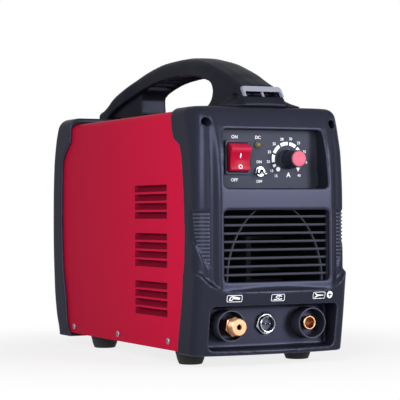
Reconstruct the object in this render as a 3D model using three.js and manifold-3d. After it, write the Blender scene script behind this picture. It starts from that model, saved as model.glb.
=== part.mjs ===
// Inverter plasma cutter power unit: a sheet-steel cover between two moulded end panels,
// with an arched carrying handle, recessed controls, a front grille and a row of connectors.
// Millimetres. +X to the machine's left-to-right, the front faces -Y, +Z up, feet on z = 0.
// The housing is drawn about y = 0 halfway between its nose and its back.

import * as THREE from "three";
import { mergeVertices } from "three/addons/utils/BufferGeometryUtils.js";
import Module from "manifold-3d";

const wasm = await Module();
wasm.setup();

// ---------------------------------------------------------------- driving dimensions

const GAP = 0.3; // clearance between pieces that seat on each other

// Housing
const WIDTH = 155; // over the chin of the front moulding
const LENGTH = 369; // nose of the chin to the back of the rear moulding
const PANEL_BOTTOM = 10.9; // underside of the front moulding
const PANEL_TOP = 234.6; // top of the front moulding
const REAR_BOTTOM = 9; // underside of the rear moulding
const REAR_TOP = 239; // top of the rear moulding
const WALL = 2.2; // moulded plastic wall
const SHEET = 1.2; // cover sheet
const BASE_SHEET = 1.5; // base sheet
const CORNER = 12; // vertical corner radius of the mouldings
const TOP_ROUND = 9; // radius along the top edge of the front moulding
const REAR_ROUND = 11; // radius along the top edge of the rear moulding
const CHIN_STEP = 0.6; // how far the chin stands out of the side faces
const COVER_SETBACK = 34; // front edge of the cover behind the nose
const COVER_END = 20; // rear edge of the cover before the back
const COVER_BEND = 7; // bend radius along the cover's top edges

// Front face
const PILLAR_WIDTH = 17.5; // from the side of the chin to the raised centre
const PLATEAU_SETBACK = 4.5; // centre face behind the nose, at mid height
const PILLAR_SETBACK = 11.5; // pillar face behind the nose, at mid height
const LEAN_TOP = 14.5; // how far the centre face leans back by the top
const PILLAR_LEAN = 1.25; // the pillars' lean as a share of the centre's
const CHIN_EDGE = 69; // height of the chin's bright top edge
const CHIN_BOW = 8; // how far the chin's ends lie behind its middle
const CHIN_SLOPE = 0.2; // how much the chin runs back per mm below its edge
const CHIN_RISE = 16; // how far the chin's edge climbs at the corners
const INSET_LOW = 87; // sunk finger insets on the pillars
const INSET_TOP = 140.5;
const INSET_DEPTH = 1.3;
const SCREW_DROP = 15; // recessed screws below the top, in the middle of the pillars
const SCREW_INSET = 6.5; // outside the raised centre
const SCREW_BOSS = 5.5;
const SCREW_RECESS = 3.6;
const SCREW_HOLE = 2;

// Control recess and its plate
const RECESS_MARGIN_TOP = 8.4; // from the edge of the raised centre
const RECESS_MARGIN_BOTTOM = 6.4;
const RECESS_LOW = 160;
const RECESS_HIGH = 214;
const RECESS_ROUND = 5;
const RECESS_DRAFT = 1;
const PLATE_DEPTH = 24.5; // plate behind the nose
const PLATE_THICK = 2;
const PLATE_LAP = 4;

// Grille
const GRILLE_MARGIN = 6; // opening inside the edge of the raised centre
const GRILLE_LOW = 80.5;
const GRILLE_HIGH = 141;
const GRILLE_ROUND = 4;
const GRILLE_DRAFT = 0.6;
const GRILLE_RECESS = 4.8; // bars behind the centre face
const GRILLE_THICK = 3.4;
const GRILLE_BORDER = 4;
const BAR_PITCH = 7.4;
const BAR_DROP = 6.2; // middle of the first bar below the opening's top
const BAR_HEIGHT = 2;
const BAR_COUNT = 8;
const ARCH_WIDTH = 1.6;
const ARCH_START = 0.29; // where the ribs leave the top, as a share of the half width
const ARCH_REACH = 0.9; // where they end, as a share of it

// Connector pocket
const POCKET_MARGIN = 12; // from the side of the chin
const POCKET_LOW = 17.5;
const POCKET_HIGH = 56;
const POCKET_ROUND = 6;
const POCKET_DEPTH = 30.5; // back wall behind the nose
const POCKET_DRAFT = 1.6;
const SOCKET_MARGIN = 24; // outer sockets from the side of the pocket
const SOCKET_HEIGHT = 37.3;

// Carrying handle; its heights are shares of its rise over the housing
const GRIP_HALF = 18;
const HANDLE_APEX = 290;
const HANDLE_FOOT_HALF = 44;
const HANDLE_SETBACK = 25; // front end behind the nose
const HANDLE_END = 9; // rear end before the back
const GAP_FRONT = -90; // finger gap, front end
const GAP_BACK = 13; // finger gap, back end
const FLOOR_SHARE = 0.1146; // floor of the finger gap
const ROOF_SHARE = 0.5486; // its roof
const SLOT_SHARE = 0.2083; // lower edge of the slot in the front hood
const SLOT_TALL_SHARE = 0.132;
const SLOT_HALF = 18;
const ARCH_SHARE = 0.295; // arch above its web, behind the finger gap
const WEB_INSET = 5;
const TRIM_THICK = 1.6;
const TRIM_DEPTH = 15;
const TRIM_STEP = 1; // how far the slot's trim stands out of the hood
const DIVIDER = 1.6; // width of the slot's divider

// Louvres of the cover
const LOUVRE_LENGTH = 72.8;
const LOUVRE_FRONT = -110.6;
const LOUVRE_HEIGHT = 6.3;
const LOUVRE_PITCH = 8.4;
const LOUVRE_DEPTH = 3.4;
const LOUVRE_ROWS = 4;
const LOUVRE_GROUPS = [164.8, 119.6, 74.2]; // top of each group

// Controls; their places across the plate are shares of the recess's half width
const ROCKER_ACROSS = -0.595;
const ROCKER_Z = 188.2;
const ROCKER_WIDTH = 19.8;
const ROCKER_REACH = 13.2; // pivot to the rocker's ends
const ROCKER_TILT = 10; // degrees each side of level
const ROCKER_BEZEL = 2;
const ROCKER_FRAME_WIDTH = 25.5;
const ROCKER_FRAME_HEIGHT = 31;
const ROCKER_BODY_HALF = 11.4;
const ROCKER_BODY_TALL = 14.2; // half height
const ROCKER_BODY_DEPTH = 22;
const PIVOT_RADIUS = 1.5;
const LED_ACROSS = -0.178;
const LED_Z = 200;
const LED_RADIUS = 2.5;
const LED_HOLDER = 3.1;
const LED_RIM = 3.9;
const LED_RIM_DEPTH = 1.6;
const LED_REACH = 3.2; // tip of the lens before the plate
const TOGGLE_ACROSS = -0.157;
const TOGGLE_Z = 175.7;
const TOGGLE_TILT = 12; // degrees each side of level
const TOGGLE_LENGTH = 13;
const TOGGLE_BALL = 2;
const TOGGLE_BUSH = 3.2;
const TOGGLE_NUT = 8.8; // across flats
const TOGGLE_HALF_X = 4;
const TOGGLE_HALF_Z = 6.5;
const BUSH_REACH = 5;
const PANEL_BODY_DEPTH = 9; // depth of the toggle and potentiometer bodies behind the plate
const PANEL_NUT_THICK = 2.2;
const KNOB_ACROSS = 0.407;
const KNOB_Z = 187;
const KNOB_LENGTH = 21;
const KNOB_BASE_RADIUS = 9;
const KNOB_FACE_RADIUS = 7.8;
const KNOB_LIFT = 1.2; // back of the knob before the plate
const CAP_RADIUS = 7.1;
const CAP_DEPTH = 1.4;
const SHAFT_RADIUS = 3;
const SHAFT_DEPTH = 8; // end of the shaft behind the knob's face
const POT_RADIUS = 8.2;
const POT_BUSH = 4.4;
const POT_NUT = 11; // across flats

// Connectors
const COLLAR_RADIUS = 14.5;
const COLLAR_LENGTH = 14.5;
const COLLAR_THICK = 3;
const NUT_THICK = 4;
const THREAD_RADIUS = 7.8; // M16 x 1.5 torch thread
const TORCH_HEX = 16; // across flats
const TORCH_HEX_LENGTH = 17;
const TORCH_THREAD = 9;
const TORCH_BORE = 2;
const TORCH_STEM = 7; // threaded stems behind the pocket wall
const TORCH_NUT = 19; // across flats
const AVIATION_RADIUS = 7.9; // 16 mm aviation socket
const AVIATION_NUT = 18; // across flats
const AVIATION_REACH = 6.6; // mouth before the pocket's back wall
const AVIATION_LENGTH = 16;
const AVIATION_WALL = 1.5;
const AVIATION_CUP = 6; // depth of the open mouth
const INSERT_THICK = 4;
const PIN_X = 2.4;
const PIN_RADIUS = 0.8;
const PIN_LENGTH = 4;
const DINSE_OUTER = 6.5;
const DINSE_BORE = 4.5;
const DINSE_STEM = 5.5;
const DINSE_LENGTH = 6.4;
const DINSE_TAIL = 8;
const DINSE_NUT = 17; // across flats

// Rear fittings
const FAN_SIZE = 120;
const FAN_DEPTH = 25;
const FAN_Z = 148;
const FAN_BORE = 57;
const FAN_ROUND = 8; // corners of its frame
const FAN_BOSS_INSET = 7.5; // screw bosses inside the fan's sides
const FAN_INSET = 6.2; // seat of the fan behind the inside of the back
const HUB_RADIUS = 20;
const STRUT_DEPTH = 4;
const STRUT_HALF = 2.2;
const SPINDLE = 1.5;
const RUNNING_GAP = 1.6;
const BLADES = 7;
const BLADE_HALF_THICK = 0.9;
const GUARD_DEPTH = 2;
const GUARD_RADIUS = 18; // innermost wire
const SEAT_DEPTH = 7; // flat seat of the fittings before the back
const SEAT_THICK = 3;
const SHELF_MARGIN = 17.5; // recess of the fittings from the sides
const SHELF_HEIGHT = 32;
const SHELF_ROUND = 5;
const FITTING_MARGIN = 18; // outer fittings from the ends of the recess
const FITTING_Z = 46;
const FITTING_HEX_THICK = 6;
const GLAND_THREAD = 8;
const GLAND_BORE = 5;
const GLAND_RADIUS = 10.4;
const GLAND_HEX = 22; // across flats
const GLAND_NUT = 21; // across flats
const GLAND_REACH = 21; // how far the cable gland stands out of the back
const STEM_LENGTH = 8; // stems of the fittings behind their seat
const INLET_THREAD = 6;
const INLET_REACH = 20;
const INLET_HEX = 15; // across flats
const INLET_BORE = 2.4;
const BARB = 4;
const STUD_RADIUS = 3;
const STUD_HEX = 10; // across flats
const STUD_REACH = 12.8;
const STUD_NUT_THICK = 5;

// Base and feet
const FLANGE = 13; // height of the base sheet's sides
const PILLAR_RADIUS = 3.5; // pillars under the power board
const VENT_LENGTH = 60;
const VENT_WIDTH = 5;
const VENT_PITCH = 18;
const FOOT_INSET = 21.5; // from the side of the chin
const FOOT_FRONT_SETBACK = 70.5; // behind the nose
const FOOT_REAR_SETBACK = 94.5; // before the back
const FOOT_TOP_RADIUS = 14;
const FOOT_LOW_RADIUS = 11;

// Inside
const BOARD_Z = 30; // underside of the power board
const BOARD_Y = -8; // its middle
const BOARD_MARGIN = 10.9; // from the sides of the base
const BOARD_HALF_Y = 105;
const BOARD_THICK = 1.6;
const BOARD_INSET = 7; // pillars inside the board's edges
const SINK_HEIGHT = 84;
const SINK_REACH = 38;
const SINK_BASE = 5;
const SINK_FINS = 9;
const SINK_FIN = 2.4;
const SINK_X = 14;
const SINK_FRONT = -92;
const SINK_BACK = 8;
const CORE_HALF = 30;
const CORE_TALL = 52;
const CORE_YOKE = 10; // above and below the windows
const LIMB = 9;
const WINDOW = 11;
const CORE_X = -24;
const CORE_FRONT = 24;
const CORE_DEPTH = 26;
const CAN_RADIUS = 15; // capacitors
const CAN_TALL = 45;
const CAN_PITCH = 34;
const CAN_Y = 76;
const CHOKE_X = 34;
const CHOKE_Y = 37;
const CHOKE_RADIUS = 20;
const CHOKE_BORE = 8;
const CHOKE_TALL = 16;
const VALVE_LENGTH = 26;
const VALVE_HALF = 9;
const VALVE_HALF_TALL = 8;
const VALVE_OUTLET = 5;
const COIL_HALF = 11;
const COIL_TOP = 34; // above the valve's middle
const HOSE_RADIUS = 3.5;
const HOSE_MARGIN = 5.2; // hose beside the board's edge

// ---------------------------------------------------------------- derived places

const NOSE = -LENGTH / 2;
const BACK = LENGTH / 2;
const HALF = WIDTH / 2;
const SIDE_HALF = HALF - CHIN_STEP;
const COVER_HALF = SIDE_HALF - WALL - GAP;
const COVER_TOP = PANEL_TOP - WALL - GAP;
const COVER_FRONT = NOSE + COVER_SETBACK;
const COVER_BACK = BACK - COVER_END;
const BASE_Z = PANEL_BOTTOM + WALL + GAP; // underside of the base sheet
const BASE_TOP = BASE_Z + BASE_SHEET;
const BASE_HALF = COVER_HALF - SHEET - GAP;
const PLATEAU_HALF = HALF - PILLAR_WIDTH; // half width of the raised centre of the front
const RECESS_HALF_TOP = PLATEAU_HALF - RECESS_MARGIN_TOP;
const RECESS_HALF_BOTTOM = PLATEAU_HALF - RECESS_MARGIN_BOTTOM;
const GRILLE_HALF = PLATEAU_HALF - GRILLE_MARGIN;
const GRILLE_Y = NOSE + PLATEAU_SETBACK + GRILLE_RECESS + GAP;
const POCKET_HALF = HALF - POCKET_MARGIN;
const POCKET_BACK = NOSE + POCKET_DEPTH;
const SOCKET_PITCH = POCKET_HALF - SOCKET_MARGIN;
const PLATE_Y = NOSE + PLATE_DEPTH;
const PLATE_BACK = PLATE_Y + PLATE_THICK;
const PLATE_SEAT = PLATE_BACK + GAP; // of the bodies behind the plate
const ROCKER_X = ROCKER_ACROSS * RECESS_HALF_TOP;
const LED_X = LED_ACROSS * RECESS_HALF_TOP;
const TOGGLE_X = TOGGLE_ACROSS * RECESS_HALF_TOP;
const KNOB_X = KNOB_ACROSS * RECESS_HALF_TOP;
const KNOB_BACK = PLATE_Y - KNOB_LIFT;
const KNOB_FACE = KNOB_BACK - KNOB_LENGTH;
const COLLAR_BACK = POCKET_BACK - GAP;
const COLLAR_FLOOR = COLLAR_BACK - COLLAR_THICK;
const INNER_FACE = POCKET_BACK + WALL + GAP; // inside of the pocket wall
const TORCH_TAIL = INNER_FACE + NUT_THICK + 6;
const AVIATION_FACE = POCKET_BACK - AVIATION_REACH;
const AVIATION_BORE = AVIATION_RADIUS - AVIATION_WALL;
const DINSE_MOUTH = COLLAR_FLOOR - GAP - DINSE_LENGTH;
const HANDLE_FRONT = NOSE + HANDLE_SETBACK;
const HANDLE_BACK = BACK - HANDLE_END;
const HANDLE_SEAT = COVER_TOP + GAP;
const HANDLE_RISE = HANDLE_APEX - HANDLE_SEAT;
const GAP_FLOOR = HANDLE_SEAT + FLOOR_SHARE * HANDLE_RISE;
const GAP_ROOF = HANDLE_SEAT + ROOF_SHARE * HANDLE_RISE;
const SLOT_LOW = HANDLE_SEAT + SLOT_SHARE * HANDLE_RISE;
const SLOT_HEIGHT = SLOT_TALL_SHARE * HANDLE_RISE;
const TRIM_Y = HANDLE_FRONT - TRIM_STEP; // front face of the slot's trim
const FAN_FACE = BACK - WALL - FAN_INSET; // flat seat of the fan inside the back
const FAN_SEAT = FAN_FACE - GAP; // back of the fan's frame
const FAN_FRONT = FAN_SEAT - FAN_DEPTH;
const FAN_RING = FAN_BORE + 1;
const SHELF_HALF = HALF - SHELF_MARGIN;
const FITTING_X = SHELF_HALF - FITTING_MARGIN;
const REAR_SEAT = BACK - SEAT_DEPTH; // flat face under the rear fittings
const REAR_FACE = REAR_SEAT + GAP;
const REAR_INSIDE = REAR_SEAT - SEAT_THICK - GAP;
const INLET_TAIL = REAR_INSIDE - STEM_LENGTH;
const FOOT_X = HALF - FOOT_INSET;
const FOOT_FRONT = NOSE + FOOT_FRONT_SETBACK;
const FOOT_REAR = BACK - FOOT_REAR_SETBACK;
const BOARD_HALF_X = BASE_HALF - BOARD_MARGIN;
const BOARD_TOP = BOARD_Z + BOARD_THICK;
const BOARD_PILLARS = [-1, 1].flatMap((sx) =>
  [-1, 1].map((sy) => [sx * (BOARD_HALF_X - BOARD_INSET), BOARD_Y + sy * (BOARD_HALF_Y - BOARD_INSET)]),
);
const ON_BOARD = BOARD_TOP + GAP;
const VALVE_BACK = INLET_TAIL - GAP;
const VALVE_FRONT = VALVE_BACK - VALVE_LENGTH;
const HOSE_LANE = -(BOARD_HALF_X + HOSE_MARGIN);

// ---------------------------------------------------------------- materials

function finish(color, roughness, metalness) {
  return new THREE.MeshStandardMaterial({ color, roughness, metalness });
}

const BLACK_ABS = finish(0x2b2d38, 0.5, 0);
const PLATE_BLACK = finish(0x343743, 0.45, 0);
const RED_STEEL = finish(0xc81f3c, 0.4, 0.1);
const GREY_ABS = finish(0x8d90a0, 0.45, 0);
const RUBBER = finish(0x15161a, 0.85, 0);
const RED_SWITCH = finish(0xd0103a, 0.3, 0);
const SALMON_CAP = finish(0xe87a8c, 0.4, 0);
const BRASS = finish(0xd9a06a, 0.3, 0.9);
const CHROME = finish(0xc9ccd2, 0.2, 1);
const STEEL = finish(0x9a9da3, 0.4, 0.9);
const ALUMINIUM = finish(0xb4b7bc, 0.4, 0.8);
const GREEN_BOARD = finish(0x1d5a34, 0.5, 0);
const LENS = finish(0xd8b060, 0.2, 0);
const COPPER = finish(0xb86a3c, 0.4, 0.8);
const FERRITE = finish(0x2f2f33, 0.7, 0);
const HOSE_BLUE = finish(0x2b4f86, 0.5, 0);

// ---------------------------------------------------------------- shape tools

// A closed surface with shared vertices, its faces turned outwards.
function closed(geometry) {
  const bare = geometry.index ? geometry.toNonIndexed() : geometry.clone();
  for (const name of Object.keys(bare.attributes)) {
    if (name !== "position") bare.deleteAttribute(name);
  }
  const merged = mergeVertices(bare, 1e-4);
  const position = merged.attributes.position;
  const index = Array.from(merged.index.array);
  const kept = [];
  let volume = 0;
  const a = new THREE.Vector3();
  const b = new THREE.Vector3();
  const c = new THREE.Vector3();
  for (let i = 0; i < index.length; i += 3) {
    const [p, q, r] = index.slice(i, i + 3);
    if (p === q || q === r || r === p) continue;
    kept.push(p, q, r);
    a.fromBufferAttribute(position, p);
    b.fromBufferAttribute(position, q);
    c.fromBufferAttribute(position, r);
    volume += a.dot(b.cross(c));
  }
  if (volume < 0) kept.reverse();
  merged.setIndex(kept);
  return merged;
}

function toSolid(geometry) {
  const merged = closed(geometry);
  const vertProperties = merged.attributes.position.array;
  const triVerts = new Uint32Array(merged.index.array);
  return new wasm.Manifold(new wasm.Mesh({ numProp: 3, vertProperties, triVerts }));
}

function toGeometry(solid) {
  const mesh = solid.getMesh();
  const geometry = new THREE.BufferGeometry();
  geometry.setAttribute("position", new THREE.BufferAttribute(new Float32Array(mesh.vertProperties), 3));
  geometry.setIndex(Array.from(mesh.triVerts));
  return geometry;
}

function join(...geometries) {
  return toGeometry(geometries.map(toSolid).reduce((whole, piece) => whole.add(piece)));
}

function cut(geometry, ...tools) {
  return toGeometry(tools.map(toSolid).reduce((whole, tool) => whole.subtract(tool), toSolid(geometry)));
}

function common(first, second) {
  return toGeometry(toSolid(first).intersect(toSolid(second)));
}

function moved(geometry, x, y, z) {
  return geometry.clone().translate(x, y, z);
}

function mirrored(geometry) {
  return closed(geometry.clone().scale(-1, 1, 1));
}

// A shape pushed along one axis. Across X a shape's (a, b) is (y, z); across Y it is (x, z).
const BASES = {
  x: [new THREE.Vector3(0, 1, 0), new THREE.Vector3(0, 0, 1), new THREE.Vector3(1, 0, 0)],
  y: [new THREE.Vector3(1, 0, 0), new THREE.Vector3(0, 0, 1), new THREE.Vector3(0, 1, 0)],
  z: [new THREE.Vector3(1, 0, 0), new THREE.Vector3(0, 1, 0), new THREE.Vector3(0, 0, 1)],
};

function prism(shape, axis, from, to, curveSegments = 5) {
  const settings = { depth: to - from, bevelEnabled: false, curveSegments, steps: 1 };
  const geometry = new THREE.ExtrudeGeometry(shape, settings);
  geometry.translate(0, 0, from);
  geometry.applyMatrix4(new THREE.Matrix4().makeBasis(...BASES[axis]));
  return closed(geometry);
}

function polygon(points) {
  return new THREE.Shape(points.map(([a, b]) => new THREE.Vector2(a, b)));
}

// A box given by its two corners.
function block(x0, x1, y0, y1, z0, z1) {
  const geometry = new THREE.BoxGeometry(x1 - x0, y1 - y0, z1 - z0);
  return closed(geometry.translate((x0 + x1) / 2, (y0 + y1) / 2, (z0 + z1) / 2));
}

// A rounded rectangle about (a, b).
function roundedRect(a, b, width, height, radius) {
  const shape = new THREE.Shape();
  const r = Math.min(Math.max(radius, 0.01), width / 2 - 0.01, height / 2 - 0.01);
  const [l, t, q] = [a - width / 2, b + height / 2, b - height / 2];
  const e = a + width / 2;
  shape.moveTo(l + r, q);
  shape.lineTo(e - r, q);
  shape.absarc(e - r, q + r, r, -Math.PI / 2, 0);
  shape.lineTo(e, t - r);
  shape.absarc(e - r, t - r, r, 0, Math.PI / 2);
  shape.lineTo(l + r, t);
  shape.absarc(l + r, t - r, r, Math.PI / 2, Math.PI);
  shape.lineTo(l, q + r);
  shape.absarc(l + r, q + r, r, Math.PI, Math.PI * 1.5);
  return shape;
}

function ringPoints(a, b, radius, sides) {
  return Array.from({ length: sides }, (_, i) => {
    const turn = (i * 2 * Math.PI) / sides;
    return [a + radius * Math.cos(turn), b + radius * Math.sin(turn)];
  });
}

function circle(a, b, radius, sides = 16) {
  return polygon(ringPoints(a, b, radius, sides));
}

function hexagon(a, b, acrossFlats) {
  return polygon(ringPoints(a, b, acrossFlats / Math.sqrt(3), 6));
}

// A profile of (radius, height) turned about Y, the axis of every front and rear fitting.
function turned(profile, segments = 24) {
  return closed(new THREE.LatheGeometry(profile.map(([r, h]) => new THREE.Vector2(r, h)), segments));
}

// The same, turned about Z.
function turnedUp(profile, segments = 24) {
  return closed(turned(profile, segments).rotateX(Math.PI / 2));
}

function rod(radius, from, to, segments = 20) {
  return turned([[0, from], [radius, from], [radius, to], [0, to]], segments);
}

// A ring turned about Y between two radii.
function tube(inner, outer, from, to, segments = 24) {
  return turned([[inner, from], [outer, from], [outer, to], [inner, to], [inner, from]], segments);
}

// A smooth value between given (place, value) pairs, flat beyond the ends.
function through(pairs) {
  const slope = pairs.map((pair, i) => {
    if (i === 0 || i === pairs.length - 1) return 0;
    const before = (pair[1] - pairs[i - 1][1]) / (pair[0] - pairs[i - 1][0]);
    const after = (pairs[i + 1][1] - pair[1]) / (pairs[i + 1][0] - pair[0]);
    return before * after > 0 ? (2 * before * after) / (before + after) : 0;
  });
  return (place) => {
    if (place <= pairs[0][0]) return pairs[0][1];
    if (place >= pairs[pairs.length - 1][0]) return pairs[pairs.length - 1][1];
    const i = pairs.findIndex((pair) => pair[0] >= place);
    const [p0, v0] = pairs[i - 1];
    const [p1, v1] = pairs[i];
    const step = p1 - p0;
    const t = (place - p0) / step;
    const h00 = (1 + 2 * t) * (1 - t) ** 2;
    const h10 = t * (1 - t) ** 2;
    const h01 = t * t * (3 - 2 * t);
    const h11 = t * t * (t - 1);
    return h00 * v0 + h10 * step * slope[i - 1] + h01 * v1 + h11 * step * slope[i];
  };
}

// A skin through closed rings of equal count, with both ends capped. drop is the axis that the
// caps are seen along: 1 for sections across Y, 2 for sections across Z.
function loft(rings, drop) {
  const count = rings[0].length;
  const position = rings.flat(2);
  const index = [];
  for (let k = 0; k + 1 < rings.length; k += 1) {
    for (let i = 0; i < count; i += 1) {
      const j = (i + 1) % count;
      const [a, b] = [k * count + i, k * count + j];
      index.push(a, b, b + count, a, b + count, a + count);
    }
  }
  const flat = (point) => new THREE.Vector2(point[0], point[3 - drop]);
  const cap = (k, along) => {
    const outline = rings[k].map(flat);
    const faces = THREE.ShapeUtils.triangulateShape(outline, []);
    const area = faces.reduce((sum, face) => sum + THREE.ShapeUtils.area(face.map((i) => outline[i])), 0);
    const follows = area > 0 === THREE.ShapeUtils.area(outline) > 0;
    for (const face of faces) {
      const order = follows === along ? face : [face[2], face[1], face[0]];
      index.push(...order.map((i) => i + k * count));
    }
  };
  cap(0, false);
  cap(rings.length - 1, true);
  const geometry = new THREE.BufferGeometry();
  geometry.setAttribute("position", new THREE.Float32BufferAttribute(position, 3));
  geometry.setIndex(index);
  return closed(geometry);
}

// A quarter round of n steps: pairs of (inset, lift) from a wall's edge to a flat top.
function quarter(radius, steps) {
  return Array.from({ length: steps + 1 }, (_, i) => {
    const turn = ((i / steps) * Math.PI) / 2;
    return [radius * (1 - Math.cos(turn)), radius * Math.sin(turn)];
  });
}

// A wall's half section is listed from its rim to the middle; this closes it on both sides.
function bothHalves(half) {
  const left = half.slice().reverse();
  return [...half, ...left.map(([x, y, z]) => [-x, y, z])];
}

function cornerArc(half, face, radius, towards, steps = 4) {
  return Array.from({ length: steps + 1 }, (_, i) => {
    const turn = ((i / steps) * Math.PI) / 2;
    return [half - radius * (1 - Math.cos(turn)), face - towards * radius * (1 - Math.sin(turn))];
  });
}

// ---------------------------------------------------------------- assembly

const group = new THREE.Group();

function add(name, geometry, material) {
  const mesh = new THREE.Mesh(geometry, material);
  mesh.name = name;
  group.add(mesh);
  return mesh;
}

// ---------------------------------------------------------------- front moulding

// The rim of the moulding bows forward at mid height and steps back in a tab at the top.
const frontRim = through([
  [PANEL_BOTTOM, 54.5],
  [60, 43.5],
  [120, 39.5],
  [PANEL_TOP - 49, 44.5],
  [PANEL_TOP - 33, 50.5],
  [PANEL_TOP - 29, 61],
  [PANEL_TOP - 19, 65.5],
  [PANEL_TOP, 67.5],
]);

// Both faces stand upright to mid height and then lean back towards the top.
const lean = through([
  [150, 0],
  [PANEL_TOP - 45, LEAN_TOP * 0.16],
  [PANEL_TOP - 20, LEAN_TOP * 0.58],
  [PANEL_TOP, LEAN_TOP],
]);

function frontSection(z, inset, plain) {
  const half = SIDE_HALF - inset;
  const pillar = NOSE + PILLAR_SETBACK + lean(z) * PILLAR_LEAN + inset;
  const centre = NOSE + PLATEAU_SETBACK + lean(z) + inset;
  const points = [[half, NOSE + frontRim(z)]];
  points.push(...cornerArc(half, pillar, CORNER - inset, -1, plain ? 2 : 4));
  if (plain) {
    points.push([PLATEAU_HALF + 1, pillar + 1]);
    points.push([PLATEAU_HALF - 3, centre]);
  } else {
    points.push([PLATEAU_HALF + 5.5, pillar + 0.2]);
    points.push([PLATEAU_HALF + 3.2, pillar + 1.4]);
    points.push([PLATEAU_HALF + 1.4, (pillar + centre) / 2]);
    points.push([PLATEAU_HALF - 0.6, centre + 0.5]);
    points.push([PLATEAU_HALF - 2.5, centre]);
  }
  return bothHalves(points.map(([x, y]) => [x, y, z]));
}

// The whole outer form above the chin; a positive inset gives the hollow inside it.
function frontForm(inset, plain = false) {
  const high = PANEL_TOP - TOP_ROUND;
  const rows = plain ? [150, 195] : [150, 170, 187, 203, 216];
  const rings = [CHIN_EDGE - 5, ...rows].map((z) => frontSection(z, inset, plain));
  for (const [draw, lift] of quarter(TOP_ROUND - inset, plain ? 2 : 4)) {
    rings.push(frontSection(high + lift, inset + draw, plain));
  }
  return loft(rings, 2);
}

// The hollow of the front moulding runs out of its open back.
function frontHollow() {
  return join(frontForm(WALL, true), openBack(WALL, PANEL_BOTTOM + WALL, PANEL_TOP - WALL, 60, -1));
}

// A plain block behind the rim, so that a hollow runs out of the open side of a moulding.
function openBack(inset, low, high, length, side) {
  const half = SIDE_HALF - inset;
  const round = Math.max(TOP_ROUND - inset, 1);
  const shape = new THREE.Shape();
  shape.moveTo(-half, low);
  shape.lineTo(half, low);
  shape.lineTo(half, high - round);
  shape.absarc(half - round, high - round, round, 0, Math.PI / 2);
  shape.lineTo(-half + round, high);
  shape.absarc(-half + round, high - round, round, Math.PI / 2, Math.PI);
  const near = side < 0 ? NOSE + 36 : BACK - 24;
  return prism(shape, "y", Math.min(near, near - side * length), Math.max(near, near - side * length), 4);
}

// The chin: bowed in plan, sloping back below its edge, with an edge that climbs at the corners.
const chinRise = through([
  [0, 0],
  [HALF - 25.5, 0],
  [HALF - 11.5, CHIN_RISE * 0.36],
  [HALF, CHIN_RISE],
]);

function chinSection(z, rise, inset, back, plain) {
  const half = HALF - inset;
  const slope = Math.max(0, CHIN_EDGE - 1.5 - z) * CHIN_SLOPE;
  const face = (x) => NOSE + inset + back + slope + CHIN_BOW * (x / HALF) ** 2;
  const points = [[half, NOSE + frontRim(z)]];
  const cornerFace = face(HALF - CORNER * 0.6);
  points.push(...cornerArc(half, cornerFace, CORNER - inset, -1, plain ? 2 : 4));
  for (const x of plain ? [40, 14] : [54, 40, 24, 8]) points.push([x, face(x)]);
  return bothHalves(points.map(([x, y]) => [x, y, z + rise * chinRise(Math.abs(x))]));
}

function chinForm(inset, plain = false) {
  const low = PANEL_BOTTOM + inset;
  const edge = CHIN_EDGE - inset;
  const section = (z, rise, draw, back) => chinSection(z, rise, inset + draw, back, plain);
  const rings = [section(low, 0, 1.5, 0), section(low + 1.5, 0, 0, 0)];
  if (!plain) rings.push(section(40, 0.3, 0, 0));
  rings.push(section(edge - 1.5, 1, 0, 0));
  if (!plain) rings.push(section(edge - 0.4, 1, 0.4, 0));
  rings.push(section(edge, 1, 0.8, 0.7));
  rings.push(section(edge + 11.5, 0.72, 0.8, 11.5));
  return loft(rings, 2);
}

// A tapered opening: a rounded outline at the front that draws in towards the back.
function taperedBox(low, high, halfLow, halfHigh, round, front, back, draft, grow) {
  const outline = (draw) => {
    const [b, t] = [low + draw - grow, high - draw + grow];
    const [hb, ht] = [halfLow - draw + grow, halfHigh - draw + grow];
    const r = Math.max(round + grow - draw, 1);
    const points = [];
    const corners = [
      [hb - r, b + r, -90],
      [ht - r, t - r, 0],
      [-ht + r, t - r, 90],
      [-hb + r, b + r, 180],
    ];
    for (const [x, z, start] of corners) {
      for (let i = 0; i <= 3; i += 1) {
        const turn = THREE.MathUtils.degToRad(start + i * 30);
        points.push([x + r * Math.cos(turn), z + r * Math.sin(turn)]);
      }
    }
    return points;
  };
  const ring = (y, draw) => outline(draw).map(([x, z]) => [x, y, z]);
  return loft([ring(front, 0), ring(back, draft)], 1);
}

function controlRecess(grow, front, back) {
  return taperedBox(
    RECESS_LOW, RECESS_HIGH, RECESS_HALF_BOTTOM, RECESS_HALF_TOP, RECESS_ROUND,
    front, back, RECESS_DRAFT, grow,
  );
}

function grilleOpening(grow, front, back) {
  return taperedBox(
    GRILLE_LOW, GRILLE_HIGH, GRILLE_HALF, GRILLE_HALF, GRILLE_ROUND, front, back, GRILLE_DRAFT, grow,
  );
}

function connectorPocket(grow, front, back) {
  return taperedBox(
    POCKET_LOW, POCKET_HIGH, POCKET_HALF, POCKET_HALF, POCKET_ROUND, front, back, POCKET_DRAFT, grow,
  );
}

// Sunk finger insets on both pillars: a three-sided outline that narrows to a point below.

function fingerInset() {
  const shape = new THREE.Shape();
  shape.moveTo(PLATEAU_HALF + 4, INSET_LOW);
  shape.lineTo(SIDE_HALF - 8, INSET_LOW + 7);
  shape.quadraticCurveTo(SIDE_HALF + 2, INSET_LOW + 22, SIDE_HALF + 4, INSET_TOP);
  shape.lineTo(PLATEAU_HALF + 4, INSET_TOP);
  return cut(prism(shape, "y", NOSE, NOSE + 27, 4), frontForm(INSET_DEPTH));
}

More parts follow.
